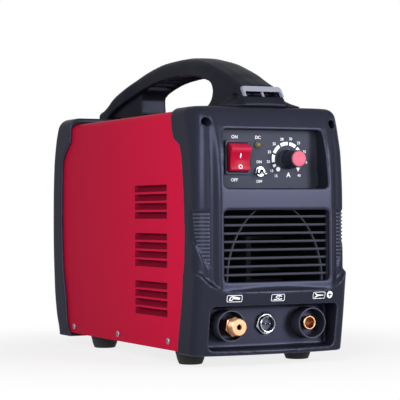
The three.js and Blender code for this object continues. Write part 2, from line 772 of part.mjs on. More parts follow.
function buildFrontPanel() {
  const outer = join(frontForm(0), chinForm(0));
  const hollow = join(frontHollow(), chinForm(WALL, true));
  const pocketTube = common(connectorPocket(WALL, NOSE - 2, POCKET_BACK + WALL), outer);
  const recessTube = common(controlRecess(WALL, NOSE - 2, PLATE_Y - GAP), outer);
  const grilleBack = NOSE + PLATEAU_SETBACK + GRILLE_RECESS;
  const grilleTube = common(grilleOpening(WALL, NOSE - 2, grilleBack), outer);
  const screwX = PLATEAU_HALF + SCREW_INSET;
  const screwZ = PANEL_TOP - SCREW_DROP;
  const boss = (x) => moved(rod(SCREW_BOSS, NOSE + 22, NOSE + 42, 8), x, 0, screwZ);
  const bosses = common(join(boss(-screwX), boss(screwX)), outer);
  const body = join(cut(outer, hollow), pocketTube, recessTube, grilleTube, bosses);
  const inset = fingerInset();
  const holes = [
    inset,
    mirrored(inset),
    connectorPocket(0, NOSE - 3, POCKET_BACK),
    controlRecess(0, NOSE - 3, PLATE_Y + 8),
    grilleOpening(0, NOSE - 3, grilleBack + 8),
  ];
  for (const x of [-screwX, screwX]) {
    holes.push(moved(rod(SCREW_RECESS, NOSE - 1, NOSE + 36, 12), x, 0, screwZ));
    holes.push(moved(rod(SCREW_HOLE, NOSE - 1, NOSE + 60, 8), x, 0, screwZ));
  }
  const socketHoles = [[-SOCKET_PITCH, TORCH_STEM], [0, AVIATION_RADIUS], [SOCKET_PITCH, DINSE_STEM]];
  for (const [x, radius] of socketHoles) {
    holes.push(moved(rod(radius + GAP, POCKET_BACK - 2, POCKET_BACK + WALL + 3, 16), x, 0, SOCKET_HEIGHT));
  }
  return cut(body, ...holes);
}

add("front_panel", buildFrontPanel(), BLACK_ABS);

// ---------------------------------------------------------------- front grille

// One half of the arched pair of ribs: it leaves the top near the middle and falls steeply outside.
function archRib(side) {
  const top = GRILLE_HIGH + 1;
  const low = GRILLE_LOW - 1;
  const reach = ARCH_REACH * GRILLE_HALF;
  const start = ARCH_START * GRILLE_HALF;
  const line = (t, out) => {
    const x = start + (reach - start) * Math.sin((t * Math.PI) / 2) ** 0.95 + out;
    return [side * x, top - (top - low) * t ** 1.35];
  };
  const steps = [0, 0.2, 0.4, 0.65, 1];
  const inner = steps.map((t) => line(t, -ARCH_WIDTH / 2));
  const outer = steps.map((t) => line(t, ARCH_WIDTH / 2)).reverse();
  return prism(polygon([...inner, ...outer]), "y", GRILLE_Y + 0.4, GRILLE_Y + GRILLE_THICK - 0.4);
}

function buildGrille() {
  const border = roundedRect(
    0,
    (GRILLE_LOW + GRILLE_HIGH) / 2,
    2 * (GRILLE_HALF + GRILLE_BORDER),
    GRILLE_HIGH - GRILLE_LOW + 2 * GRILLE_BORDER,
    6,
  );
  border.holes.push(
    roundedRect(0, (GRILLE_LOW + GRILLE_HIGH) / 2, 2 * GRILLE_HALF, GRILLE_HIGH - GRILLE_LOW, 3),
  );
  const frame = prism(border, "y", GRILLE_Y, GRILLE_Y + GRILLE_THICK, 1);
  const bars = Array.from({ length: BAR_COUNT }, (_, i) => {
    const z = GRILLE_HIGH - BAR_DROP - i * BAR_PITCH;
    return block(
      -GRILLE_HALF - 1, GRILLE_HALF + 1, GRILLE_Y, GRILLE_Y + GRILLE_THICK - 0.2,
      z - BAR_HEIGHT / 2, z + BAR_HEIGHT / 2,
    );
  });
  return join(frame, ...bars, archRib(-1), archRib(1));
}

add("front_grille", buildGrille(), BLACK_ABS);

// ---------------------------------------------------------------- rear moulding

const rearRim = through([
  [REAR_BOTTOM, 50],
  [22, 41],
  [50, 36.5],
  [80, 29.5],
  [128, 26.5],
  [REAR_TOP - 49, 29.5],
  [REAR_TOP - 34, 41],
  [REAR_TOP - 24, 53],
  [REAR_TOP, 54],
]);

// The back bulges like a barrel between its top and bottom.
const rearBulge = through([
  [REAR_BOTTOM, 13],
  [32, 7],
  [60, 1.8],
  [130, 0],
  [REAR_TOP - 50, 1.6],
  [REAR_TOP - 25, 5.5],
  [REAR_TOP, 14],
]);

function rearSection(z, inset, plain) {
  const half = HALF - inset;
  const face = BACK - rearBulge(z) - inset;
  const points = [[half, BACK - rearRim(z)]];
  points.push(...cornerArc(half, face, CORNER - inset, 1, plain ? 2 : 4));
  return bothHalves(points.map(([x, y]) => [x, y, z]));
}

function rearForm(inset, plain = false) {
  const high = REAR_TOP - REAR_ROUND;
  const rows = plain ? [60, 130, 190] : [22, 38, 62, 95, 165, 190, 210];
  const rings = [REAR_BOTTOM + inset, ...rows].map((z) => rearSection(z, inset, plain));
  for (const [draw, lift] of quarter(REAR_ROUND - inset, plain ? 2 : 4)) {
    rings.push(rearSection(high + lift, inset + draw, plain));
  }
  return loft(rings, 2);
}

function buildRearPanel() {
  const outer = rearForm(0);
  // The mouth fits round the cover; deeper in, the hollow follows the outer form.
  const mouth = openBack(WALL, REAR_BOTTOM + WALL, COVER_TOP + GAP, 60, 1);
  const inBack = block(-HALF, HALF, COVER_BACK - 4, BACK, 0, COVER_TOP + GAP);
  const deep = common(rearForm(WALL + 0.2, true), inBack);
  // A flat recess along the bottom takes the three fittings, on a wall of its own behind.
  const shelf = (grow, from, to) => {
    const [across, tall] = [2 * (SHELF_HALF + grow), SHELF_HEIGHT + 2 * grow];
    const outline = roundedRect(0, FITTING_Z, across, tall, SHELF_ROUND + grow);
    return prism(outline, "y", from, to, 1);
  };
  const corner = FAN_SIZE / 2 - FAN_BOSS_INSET;
  const fanBosses = [[-1, -1], [1, -1], [1, 1], [-1, 1]].map(([sx, sz]) =>
    moved(rod(5, FAN_FACE, BACK, 8), sx * corner, 0, FAN_Z + sz * corner),
  );
  const pads = join(shelf(WALL, REAR_SEAT - SEAT_THICK, BACK), ...fanBosses);
  const padded = join(cut(outer, mouth, deep), common(pads, outer));
  const past = BACK + 20;
  const holes = [
    shelf(0, REAR_SEAT, past),
    moved(rod(FAN_RING, FAN_FACE - 6, past, 30), 0, 0, FAN_Z),
    moved(rod(GLAND_THREAD + GAP, BACK - 20, past, 16), FITTING_X, 0, FITTING_Z),
    moved(rod(INLET_THREAD + GAP, BACK - 20, past, 14), -FITTING_X, 0, FITTING_Z),
    moved(rod(STUD_RADIUS + GAP, BACK - 20, past, 12), 0, 0, FITTING_Z),
  ];
  return cut(padded, ...holes);
}

add("rear_panel", buildRearPanel(), BLACK_ABS);

// ---------------------------------------------------------------- cover and base sheet

function coverOutline(half, top, low, round) {
  const shape = new THREE.Shape();
  shape.moveTo(-half, low);
  shape.lineTo(-half, top - round);
  shape.absarc(-half + round, top - round, round, Math.PI, Math.PI / 2, true);
  shape.lineTo(half - round, top);
  shape.absarc(half - round, top - round, round, Math.PI / 2, 0, true);
  shape.lineTo(half, low);
  return shape;
}

// Each louvre is a tongue pressed inwards, hinged along its lower edge and open along its top.
function louvreTongue(top) {
  const low = top - LOUVRE_HEIGHT;
  const outside = -COVER_HALF;
  const tongue = polygon([
    [outside, low - 0.4],
    [outside, low],
    [outside + LOUVRE_DEPTH, top - 1],
    [outside + LOUVRE_DEPTH + SHEET * 0.9, top - 1],
    [outside + SHEET, low - 0.4],
  ]);
  return prism(tongue, "y", LOUVRE_FRONT, LOUVRE_FRONT + LOUVRE_LENGTH);
}

function louvreWindow(top) {
  const [front, back] = [LOUVRE_FRONT, LOUVRE_FRONT + LOUVRE_LENGTH];
  return block(-COVER_HALF - 1, -COVER_HALF + SHEET + 1, front, back, top - LOUVRE_HEIGHT, top);
}

function buildCover() {
  const low = BASE_Z + GAP;
  const outer = prism(coverOutline(COVER_HALF, COVER_TOP, low, COVER_BEND), "y", COVER_FRONT, COVER_BACK);
  const inner = coverOutline(COVER_HALF - SHEET, COVER_TOP - SHEET, low - 5, COVER_BEND - SHEET);
  // The front edge runs back near the top, where the moulding's corners lean back.
  const relief = polygon([
    [NOSE, PANEL_TOP - 58],
    [COVER_FRONT, PANEL_TOP - 58],
    [COVER_FRONT + 10, PANEL_TOP - 30],
    [COVER_FRONT + 10, PANEL_TOP + 5],
    [NOSE, PANEL_TOP + 5],
  ]);
  // The rear edge does the same at the top and at the bottom.
  const rearRelief = polygon([
    [COVER_BACK + 1, -1],
    [COVER_BACK - 9, -1],
    [COVER_BACK - 9, REAR_BOTTOM + 35],
    [COVER_BACK, REAR_BOTTOM + 55],
    [COVER_BACK, REAR_TOP - 50],
    [COVER_BACK - 8, REAR_TOP - 33],
    [COVER_BACK - 8, REAR_TOP],
    [COVER_BACK + 1, REAR_TOP],
  ]);
  const channel = prism(inner, "y", COVER_FRONT - 5, COVER_BACK + 5);
  const sheet = cut(outer, channel, prism(relief, "x", -HALF, HALF), prism(rearRelief, "x", -HALF, HALF));
  const tops = LOUVRE_GROUPS.flatMap((top) =>
    Array.from({ length: LOUVRE_ROWS }, (_, i) => top - i * LOUVRE_PITCH),
  );
  const windows = tops.map(louvreWindow);
  const pierced = cut(sheet, ...windows, ...windows.map(mirrored));
  const tongues = tops.map(louvreTongue);
  return join(pierced, ...tongues, ...tongues.map(mirrored));
}

add("cover_shell", buildCover(), RED_STEEL);

function buildBase() {
  const [front, back] = [COVER_FRONT, COVER_BACK];
  const outline = polygon([
    [-BASE_HALF, BASE_Z],
    [BASE_HALF, BASE_Z],
    [BASE_HALF, BASE_Z + FLANGE],
    [BASE_HALF - BASE_SHEET, BASE_Z + FLANGE],
    [BASE_HALF - BASE_SHEET, BASE_TOP],
    [-BASE_HALF + BASE_SHEET, BASE_TOP],
    [-BASE_HALF + BASE_SHEET, BASE_Z + FLANGE],
    [-BASE_HALF, BASE_Z + FLANGE],
  ]);
  const tray = prism(outline, "y", front, back);
  const [foot, head] = [BASE_Z + 0.5, BOARD_Z - GAP];
  const pillar = [[0, foot], [PILLAR_RADIUS, foot], [PILLAR_RADIUS, head], [0, head]];
  const pillars = BOARD_PILLARS.map(([x, y]) =>
    moved(turnedUp(pillar, 10), x, y, 0),
  );
  const vents = [-2, -1, 0, 1, 2].map((i) => {
    const vent = roundedRect(0, BOARD_Y + i * VENT_PITCH, VENT_LENGTH, VENT_WIDTH, VENT_WIDTH / 2 - 0.1);
    return prism(vent, "z", BASE_Z - 1, BASE_TOP + 1, 1);
  });
  return cut(join(tray, ...pillars), ...vents);
}

add("base_plate", buildBase(), STEEL);

// ---------------------------------------------------------------- feet

function buildFoot() {
  const top = BASE_Z - GAP;
  return turnedUp(
    [
      [0, 0],
      [FOOT_LOW_RADIUS - 1, 0],
      [FOOT_LOW_RADIUS, 1],
      [FOOT_TOP_RADIUS, top - 3],
      [FOOT_TOP_RADIUS, top],
      [0, top],
    ],
    18,
  );
}

for (const [name, x, y] of [
  ["front_left_foot", -FOOT_X, FOOT_FRONT],
  ["front_right_foot", FOOT_X, FOOT_FRONT],
  ["rear_left_foot", -FOOT_X, FOOT_REAR],
  ["rear_right_foot", FOOT_X, FOOT_REAR],
]) {
  add(name, buildFoot(), RUBBER).position.set(x, y, 0);
}

// ---------------------------------------------------------------- carrying handle

const handleHalf = through([
  [HANDLE_FRONT, HANDLE_FOOT_HALF - 2],
  [HANDLE_FRONT + 9, HANDLE_FOOT_HALF],
  [HANDLE_FRONT + 20, HANDLE_FOOT_HALF - 4],
  [HANDLE_FRONT + 36, HANDLE_FOOT_HALF - 14],
  [HANDLE_FRONT + 54, GRIP_HALF + 6],
  [HANDLE_FRONT + 80, GRIP_HALF + 1.5],
  [GAP_FRONT + 45, GRIP_HALF],
  [GAP_BACK + 10, GRIP_HALF],
  [GAP_BACK + 65, GRIP_HALF + 2],
  [HANDLE_BACK - 45, GRIP_HALF + 9],
  [HANDLE_BACK - 18, GRIP_HALF + 15],
  [HANDLE_BACK, GRIP_HALF + 14],
]);

// How far the top of the arch lies above the housing, as a share of the rise at its apex.
const handleTop = through([
  [HANDLE_FRONT, 0.045],
  [HANDLE_FRONT + 3, 0.201],
  [HANDLE_FRONT + 12, 0.375],
  [HANDLE_FRONT + 30, 0.54],
  [HANDLE_FRONT + 55, 0.705],
  [HANDLE_FRONT + 85, 0.852],
  [HANDLE_FRONT + 120, 0.965],
  [-6, 1],
  [40, 0.955],
  [79, 0.852],
  [119, 0.653],
  [150, 0.453],
  [HANDLE_BACK, 0.236],
]);

// The skirt along the foot of the rear half, wider than the arch above it.
const skirtSpread = through([
  [GAP_BACK - 2, 0],
  [GAP_BACK + 30, 9],
  [GAP_BACK + 80, 17],
  [HANDLE_BACK, 10],
]);

function handleSection(y) {
  const half = handleHalf(y);
  const top = HANDLE_SEAT + HANDLE_RISE * handleTop(y);
  const spread = skirtSpread(y);
  const web = half - WEB_INSET * Math.min(1, spread / 6);
  const round = Math.min(GRIP_HALF * 0.444, (top - HANDLE_SEAT) / 3);
  const shoulder = top - round;
  const browAt = Math.max(top - ARCH_SHARE * HANDLE_RISE, GAP_FLOOR - 0.1);
  const brow = Math.min(browAt, shoulder - 0.5);
  const knee = Math.min(HANDLE_SEAT + 5, brow - 1.2);
  const toe = Math.min(HANDLE_SEAT + 1.5, knee - 1.2);
  const points = [
    [half + spread, toe - 10],
    [half + spread, toe],
    [web, knee],
    [web, brow - 0.6],
    [half, brow],
    [half, shoulder],
    [half - round * 0.1, top - round * 0.6],
    [half - round * 0.35, top - round * 0.22],
    [half - round * 1.1, top + 0.6],
    [half * 0.3, top + 1.6],
  ];
  return bothHalves(points.map(([x, z]) => [x, y, z]));
}

function fingerGap() {
  const up = (share) => GAP_FLOOR + share * (GAP_ROOF - GAP_FLOOR);
  const shape = new THREE.Shape();
  shape.moveTo(GAP_FRONT + 12, GAP_FLOOR);
  shape.bezierCurveTo(GAP_FRONT + 1, up(0.04), GAP_FRONT - 2, up(0.56), GAP_FRONT + 7, up(0.84));
  shape.quadraticCurveTo(GAP_FRONT + 13, up(1.012), GAP_FRONT + 24, GAP_ROOF);
  shape.lineTo(GAP_BACK - 30, GAP_ROOF);
  shape.quadraticCurveTo(GAP_BACK, up(0.92), GAP_BACK, up(0.36));
  shape.lineTo(GAP_BACK, up(0.12));
  shape.quadraticCurveTo(GAP_BACK, GAP_FLOOR, GAP_BACK - 3, GAP_FLOOR);
  return prism(shape, "x", -HALF, HALF, 6);
}

// The trim frames the top and sides of the slot and stands a little proud of the hood.
function trimOutline(clearance) {
  const out = SLOT_HALF + TRIM_THICK + clearance;
  const inn = SLOT_HALF - clearance;
  const top = SLOT_LOW + SLOT_HEIGHT;
  return polygon([
    [-out, SLOT_LOW],
    [-inn, SLOT_LOW],
    [-inn, top - clearance],
    [inn, top - clearance],
    [inn, SLOT_LOW],
    [out, SLOT_LOW],
    [out, top + TRIM_THICK * 0.4],
    [out - 2, top + TRIM_THICK + clearance],
    [-out + 2, top + TRIM_THICK + clearance],
    [-out, top + TRIM_THICK * 0.4],
  ]);
}

function buildHandle() {
  const places = [
    HANDLE_FRONT, HANDLE_FRONT + 3, HANDLE_FRONT + 9, HANDLE_FRONT + 18, HANDLE_FRONT + 28, HANDLE_FRONT + 40,
    HANDLE_FRONT + 54, HANDLE_FRONT + 72, -60, -20, 15, 33, 60, 90, 120, 148, HANDLE_BACK - 3, HANDLE_BACK,
  ];
  const body = loft(places.map(handleSection), 1);
  const below = block(-HALF, HALF, NOSE, BACK + 20, 0, HANDLE_SEAT);
  const overRear = block(-HALF, HALF, BACK - rearRim(REAR_TOP) - GAP, BACK + 20, 0, REAR_TOP + GAP);
  const behindRim = NOSE + frontRim(PANEL_TOP) + GAP;
  const overFront = join(frontForm(-GAP), block(-HALF, HALF, NOSE + 45, behindRim, 0, PANEL_TOP + GAP));
  const slot = block(
    -SLOT_HALF, SLOT_HALF, TRIM_Y - 5, TRIM_Y + TRIM_DEPTH + 1, SLOT_LOW, SLOT_LOW + SLOT_HEIGHT,
  );
  const trimSeat = prism(trimOutline(GAP), "y", TRIM_Y - 5, TRIM_Y + TRIM_DEPTH + GAP);
  return cut(body, below, overRear, overFront, fingerGap(), join(slot, trimSeat));
}

add("handle", buildHandle(), BLACK_ABS);

function buildTrim() {
  const hood = prism(trimOutline(0), "y", TRIM_Y, TRIM_Y + TRIM_DEPTH);
  const divider = block(
    -DIVIDER / 2, DIVIDER / 2, TRIM_Y + 4, TRIM_Y + TRIM_DEPTH,
    SLOT_LOW + GAP, SLOT_LOW + SLOT_HEIGHT + TRIM_THICK / 2,
  );
  return join(hood, divider);
}

add("handle_trim", buildTrim(), GREY_ABS);

// ---------------------------------------------------------------- control plate

function buildControlPlate() {
  const height = RECESS_HIGH - RECESS_LOW + 2 * PLATE_LAP;
  const middle = (RECESS_HIGH + RECESS_LOW) / 2;
  const shape = roundedRect(0, middle, 2 * (RECESS_HALF_TOP + PLATE_LAP), height, 4);
  const body = [2 * (ROCKER_BODY_HALF + GAP), 2 * (ROCKER_BODY_TALL + GAP)];
  shape.holes.push(roundedRect(ROCKER_X, ROCKER_Z, body[0], body[1], 0));
  shape.holes.push(circle(LED_X, LED_Z, LED_HOLDER + 2 * GAP, 12));
  shape.holes.push(circle(TOGGLE_X, TOGGLE_Z, TOGGLE_BUSH + GAP, 12));
  shape.holes.push(circle(KNOB_X, KNOB_Z, POT_BUSH + GAP, 12));
  return prism(shape, "y", PLATE_Y, PLATE_BACK, 2);
}

add("control_plate", buildControlPlate(), PLATE_BLACK);

// ---------------------------------------------------------------- power rocker

const ROCKER_WELL = ROCKER_REACH + GAP; // half height of the well
const ROCKER_SIDE = ROCKER_WIDTH / 2 + GAP;

function buildRockerFrame() {
  const front = PLATE_Y - GAP - ROCKER_BEZEL;
  const bezel = roundedRect(ROCKER_X, ROCKER_Z, ROCKER_FRAME_WIDTH, ROCKER_FRAME_HEIGHT, 1.5);
  const flange = prism(bezel, "y", front, PLATE_Y - GAP, 1);
  const [l, r] = [ROCKER_X - ROCKER_BODY_HALF, ROCKER_X + ROCKER_BODY_HALF];
  const [b, t] = [ROCKER_Z - ROCKER_BODY_TALL, ROCKER_Z + ROCKER_BODY_TALL];
  const body = block(l, r, PLATE_Y - 1, PLATE_Y + ROCKER_BODY_DEPTH, b, t);
  const well = block(
    ROCKER_X - ROCKER_SIDE, ROCKER_X + ROCKER_SIDE, front - 1, PLATE_Y + ROCKER_REACH * 0.72,
    ROCKER_Z - ROCKER_WELL, ROCKER_Z + ROCKER_WELL,
  );
  const eye = circle(PLATE_Y, ROCKER_Z, PIVOT_RADIUS + GAP, 12);
  return cut(join(flange, body), well, prism(eye, "x", l - 1, r + 1));
}

// The button's ends are arcs about its pivot, so that they sweep clear of the well.
function buildRockerButton() {
  const arc = (from, to, steps) =>
    Array.from({ length: steps + 1 }, (_, i) => {
      const turn = THREE.MathUtils.degToRad(from + ((to - from) * i) / steps);
      return [-ROCKER_REACH * Math.sin(turn), ROCKER_REACH * Math.cos(turn)];
    });
  const face = ROCKER_REACH * 0.33;
  const outline = [
    ...arc(-25, 28, 4),
    [-face * 1.08, ROCKER_REACH * 0.4],
    [-face, 0],
    [-face * 1.08, -ROCKER_REACH * 0.4],
    ...arc(152, 205, 4),
  ];
  const half = ROCKER_WIDTH / 2;
  const button = prism(polygon(outline), "x", -half, half);
  return join(button, prism(circle(0, 0, PIVOT_RADIUS, 8), "x", -half - 0.9, half + 0.9));
}

add("rocker_frame", buildRockerFrame(), BLACK_ABS);
const rocker = add("rocker_button", buildRockerButton(), RED_SWITCH);
rocker.position.set(ROCKER_X, PLATE_Y, ROCKER_Z);
rocker.rotation.x = THREE.MathUtils.degToRad(ROCKER_TILT); // off: the lower end pressed in

// ---------------------------------------------------------------- indicator lamp

const LED_SEAT = PLATE_Y - GAP;

add(
  "led_holder",
  moved(
    turned([
      [LED_RADIUS + GAP, LED_SEAT - LED_RIM_DEPTH],
      [LED_RIM - 0.5, LED_SEAT - LED_RIM_DEPTH],
      [LED_RIM, LED_SEAT - LED_RIM_DEPTH + 0.6],
      [LED_RIM, LED_SEAT],
      [LED_HOLDER, LED_SEAT],
      [LED_HOLDER, PLATE_BACK + 4],
      [LED_RADIUS + GAP, PLATE_BACK + 4],
      [LED_RADIUS + GAP, LED_SEAT - LED_RIM_DEPTH],
    ], 12),
    LED_X, 0, LED_Z,
  ),
  BLACK_ABS,
);
add(
  "led_lens",
  moved(
    turned([
      [0, LED_SEAT - LED_REACH],
      [LED_RADIUS * 0.55, LED_SEAT - LED_REACH + 0.5],
      [LED_RADIUS * 0.9, LED_SEAT - 1.8],
      [LED_RADIUS, LED_SEAT - 0.9],
      [LED_RADIUS, PLATE_BACK + 3],
      [0, PLATE_BACK + 3],
    ], 12),
    LED_X, 0, LED_Z,
  ),
  LENS,
);

// ---------------------------------------------------------------- gas test toggle

const TOGGLE_PIVOT = PLATE_Y - 1;

function buildToggleBody() {
  const body = block(
    TOGGLE_X - TOGGLE_HALF_X, TOGGLE_X + TOGGLE_HALF_X, PLATE_SEAT, PLATE_SEAT + PANEL_BODY_DEPTH,
    TOGGLE_Z - TOGGLE_HALF_Z, TOGGLE_Z + TOGGLE_HALF_Z,
  );
  const bush = rod(TOGGLE_BUSH, PLATE_Y - BUSH_REACH, PLATE_SEAT + 1, 12);
  const bore = rod(TOGGLE_BALL + GAP, PLATE_Y - BUSH_REACH - 1, PLATE_SEAT + 3, 10);
  return cut(join(body, moved(bush, TOGGLE_X, 0, TOGGLE_Z)), moved(bore, TOGGLE_X, 0, TOGGLE_Z));
}

function hexNut(x, z, acrossFlats, hole, from, to) {
  const shape = hexagon(x, z, acrossFlats);
  shape.holes.push(circle(x, z, hole, 12));
  return prism(shape, "y", from, to);
}

add("toggle_body", buildToggleBody(), CHROME);
add(
  "toggle_nut",
  hexNut(TOGGLE_X, TOGGLE_Z, TOGGLE_NUT, TOGGLE_BUSH + GAP, PLATE_Y - GAP - PANEL_NUT_THICK, PLATE_Y - GAP),
  CHROME,
);

const lever = add(
  "toggle_lever",
  turned([
    [0, 2.6],
    [1, 2.6],
    [1.1, 1.6],
    [TOGGLE_BALL, 0.7],
    [TOGGLE_BALL, -0.7],
    [0.95, -2],
    [1.35, -TOGGLE_LENGTH + 2],
    [1.6, -TOGGLE_LENGTH + 1],
    [1.1, -TOGGLE_LENGTH],
    [0, -TOGGLE_LENGTH],
  ], 10),
  CHROME,
);
lever.position.set(TOGGLE_X, TOGGLE_PIVOT, TOGGLE_Z);
lever.rotation.x = THREE.MathUtils.degToRad(TOGGLE_TILT); // resting downwards

// ---------------------------------------------------------------- current knob

const POT_BACK = PLATE_SEAT + PANEL_BODY_DEPTH;

add(
  "pot_body",
  moved(
    cut(
      join(rod(POT_RADIUS, PLATE_SEAT, POT_BACK, 12), rod(POT_BUSH, PLATE_Y - 4.5, PLATE_SEAT + 1, 12)),
      rod(SHAFT_RADIUS + GAP, PLATE_Y - 6, POT_BACK - 2, 12),
    ),
    KNOB_X, 0, KNOB_Z,
  ),
  STEEL,
);
add(
  "pot_nut",
  hexNut(KNOB_X, KNOB_Z, POT_NUT, POT_BUSH + GAP, PLATE_Y - GAP - PANEL_NUT_THICK, PLATE_Y - GAP),
  CHROME,
);
add(
  "knob_shaft",
  moved(rod(SHAFT_RADIUS, KNOB_FACE + SHAFT_DEPTH, POT_BACK - 2 - GAP, 12), KNOB_X, 0, KNOB_Z),
  STEEL,
);

function buildKnob() {
  const body = turned([
    [POT_BUSH + 3.2, KNOB_BACK],
    [KNOB_BASE_RADIUS, KNOB_BACK],
    [KNOB_BASE_RADIUS, KNOB_BACK - 3.5],
    [KNOB_BASE_RADIUS - 0.7, KNOB_BACK - 4.5],
    [KNOB_FACE_RADIUS, KNOB_FACE + 0.8],
    [KNOB_FACE_RADIUS - 0.5, KNOB_FACE],
    [CAP_RADIUS + 0.1, KNOB_FACE],
    [CAP_RADIUS + 0.1, KNOB_FACE + CAP_DEPTH],
    [0, KNOB_FACE + CAP_DEPTH],
    [0, KNOB_FACE + SHAFT_DEPTH - GAP],
    [SHAFT_RADIUS + GAP, KNOB_FACE + SHAFT_DEPTH - GAP],
    [SHAFT_RADIUS + GAP, KNOB_BACK - 6],
    [POT_BUSH + 3.2, KNOB_BACK - 6],
    [POT_BUSH + 3.2, KNOB_BACK],
  ], 18);
  return moved(body, KNOB_X, 0, KNOB_Z);
}

add("current_knob", buildKnob(), BLACK_ABS);
add(
  "knob_cap",
  moved(
    turned([
      [0, KNOB_FACE + CAP_DEPTH - 0.2],
      [CAP_RADIUS - 0.1, KNOB_FACE + CAP_DEPTH - 0.2],
      [CAP_RADIUS - 0.1, KNOB_FACE - 0.2],
      [CAP_RADIUS - 0.7, KNOB_FACE - 0.7],
      [0, KNOB_FACE - 0.9],
    ], 20),
    KNOB_X, 0, KNOB_Z,
  ),
  SALMON_CAP,
);

add(
  "control_board",
  block(
    TOGGLE_X - 6, RECESS_HALF_TOP - 6, POT_BACK + GAP, POT_BACK + GAP + BOARD_THICK,
    RECESS_LOW + 4, RECESS_HIGH - 4,
  ),
  GREEN_BOARD,
);

// ---------------------------------------------------------------- connectors

function collar(stem) {
  return turned([
    [stem + GAP, COLLAR_BACK],
    [COLLAR_RADIUS - 0.6, COLLAR_BACK],
    [COLLAR_RADIUS, COLLAR_BACK - 1],
    [COLLAR_RADIUS - 0.3, COLLAR_BACK - COLLAR_LENGTH + 0.6],
    [COLLAR_RADIUS - 0.9, COLLAR_BACK - COLLAR_LENGTH],
    [COLLAR_RADIUS - 1.7, COLLAR_BACK - COLLAR_LENGTH],
    [COLLAR_RADIUS - 2.4, COLLAR_FLOOR],
    [stem + GAP, COLLAR_FLOOR],
    [stem + GAP, COLLAR_BACK],
  ], 18);
}

function atSocket(geometry, place) {
  return moved(geometry, place * SOCKET_PITCH, 0, SOCKET_HEIGHT);
}

add("torch_collar", atSocket(collar(TORCH_STEM), -1), BLACK_ABS);

function buildTorchFitting() {
  const seat = COLLAR_FLOOR - GAP;
  const hex = prism(hexagon(0, 0, TORCH_HEX), "y", seat - TORCH_HEX_LENGTH, seat);
  const thread = turned([
    [0, seat - TORCH_HEX_LENGTH + 1],
    [THREAD_RADIUS - 0.9, seat - TORCH_HEX_LENGTH + 1],
    [THREAD_RADIUS - 0.9, seat - TORCH_HEX_LENGTH - 1],
    [THREAD_RADIUS, seat - TORCH_HEX_LENGTH - 1.6],
    [THREAD_RADIUS, seat - TORCH_HEX_LENGTH - TORCH_THREAD + 1],
    [THREAD_RADIUS - 1, seat - TORCH_HEX_LENGTH - TORCH_THREAD],
    [0, seat - TORCH_HEX_LENGTH - TORCH_THREAD],
  ], 18);
  const stem = rod(TORCH_STEM, seat - 1, INNER_FACE + NUT_THICK + 2, 12);
  const tail = rod(HOSE_RADIUS - 1, INNER_FACE + NUT_THICK + 1, TORCH_TAIL, 8);
  return cut(join(hex, thread, stem, tail), rod(TORCH_BORE, NOSE - 10, TORCH_TAIL + 1, 10));
}

add("torch_fitting", atSocket(buildTorchFitting(), -1), BRASS);
add(
  "torch_nut",
  atSocket(hexNut(0, 0, TORCH_NUT, TORCH_STEM + GAP, INNER_FACE, INNER_FACE + NUT_THICK), -1),
  BRASS,
);

add(
  "aviation_shell",
  atSocket(
    turned([
      [0, AVIATION_FACE + AVIATION_CUP + INSERT_THICK],
      [AVIATION_BORE, AVIATION_FACE + AVIATION_CUP + INSERT_THICK],
      [AVIATION_BORE, AVIATION_FACE + 0.4],
      [AVIATION_BORE + 0.4, AVIATION_FACE],
      [AVIATION_RADIUS - 0.5, AVIATION_FACE],
      [AVIATION_RADIUS, AVIATION_FACE + 0.5],
      [AVIATION_RADIUS, AVIATION_FACE + AVIATION_LENGTH],
      [AVIATION_RADIUS - 2, AVIATION_FACE + AVIATION_LENGTH],
      [AVIATION_RADIUS - 2, AVIATION_FACE + AVIATION_LENGTH - 4],
      [0, AVIATION_FACE + AVIATION_LENGTH - 4],
    ], 16),
    0,
  ),
  CHROME,
);
add(
  "aviation_nut",
  atSocket(hexNut(0, 0, AVIATION_NUT, AVIATION_RADIUS + GAP, COLLAR_BACK - 3, COLLAR_BACK), 0),
  CHROME,
);

const INSERT_FACE = AVIATION_FACE + AVIATION_CUP - 0.5;
const INSERT_BACK = AVIATION_FACE + AVIATION_CUP + INSERT_THICK - GAP;

add("aviation_insert", atSocket(rod(AVIATION_BORE - GAP, INSERT_FACE, INSERT_BACK, 14), 0), BLACK_ABS);
for (const [name, x] of [["aviation_left_pin", -PIN_X], ["aviation_right_pin", PIN_X]]) {
  const pin = rod(PIN_RADIUS, INSERT_FACE - GAP - PIN_LENGTH, INSERT_FACE - GAP, 6);
  add(name, moved(pin, x, 0, SOCKET_HEIGHT), BRASS);
}

add("ground_collar", atSocket(collar(DINSE_STEM), 1), BLACK_ABS);

add(
  "ground_socket",
  atSocket(
    turned([
      [0, COLLAR_FLOOR + 3],
      [DINSE_BORE, COLLAR_FLOOR + 3],
      [DINSE_BORE, DINSE_MOUTH + 0.7],
      [DINSE_BORE + 0.7, DINSE_MOUTH],
      [DINSE_OUTER - 0.5, DINSE_MOUTH],
      [DINSE_OUTER, DINSE_MOUTH + 0.5],
      [DINSE_OUTER, COLLAR_FLOOR - GAP],
      [DINSE_STEM, COLLAR_FLOOR - GAP],
      [DINSE_STEM, INNER_FACE + NUT_THICK + DINSE_TAIL],
      [0, INNER_FACE + NUT_THICK + DINSE_TAIL],
    ], 16),
    1,
  ),
  BRASS,
);
add(
  "ground_nut",
  atSocket(hexNut(0, 0, DINSE_NUT, DINSE_STEM + GAP, INNER_FACE, INNER_FACE + NUT_THICK), 1),
  BRASS,
);

// ---------------------------------------------------------------- fan

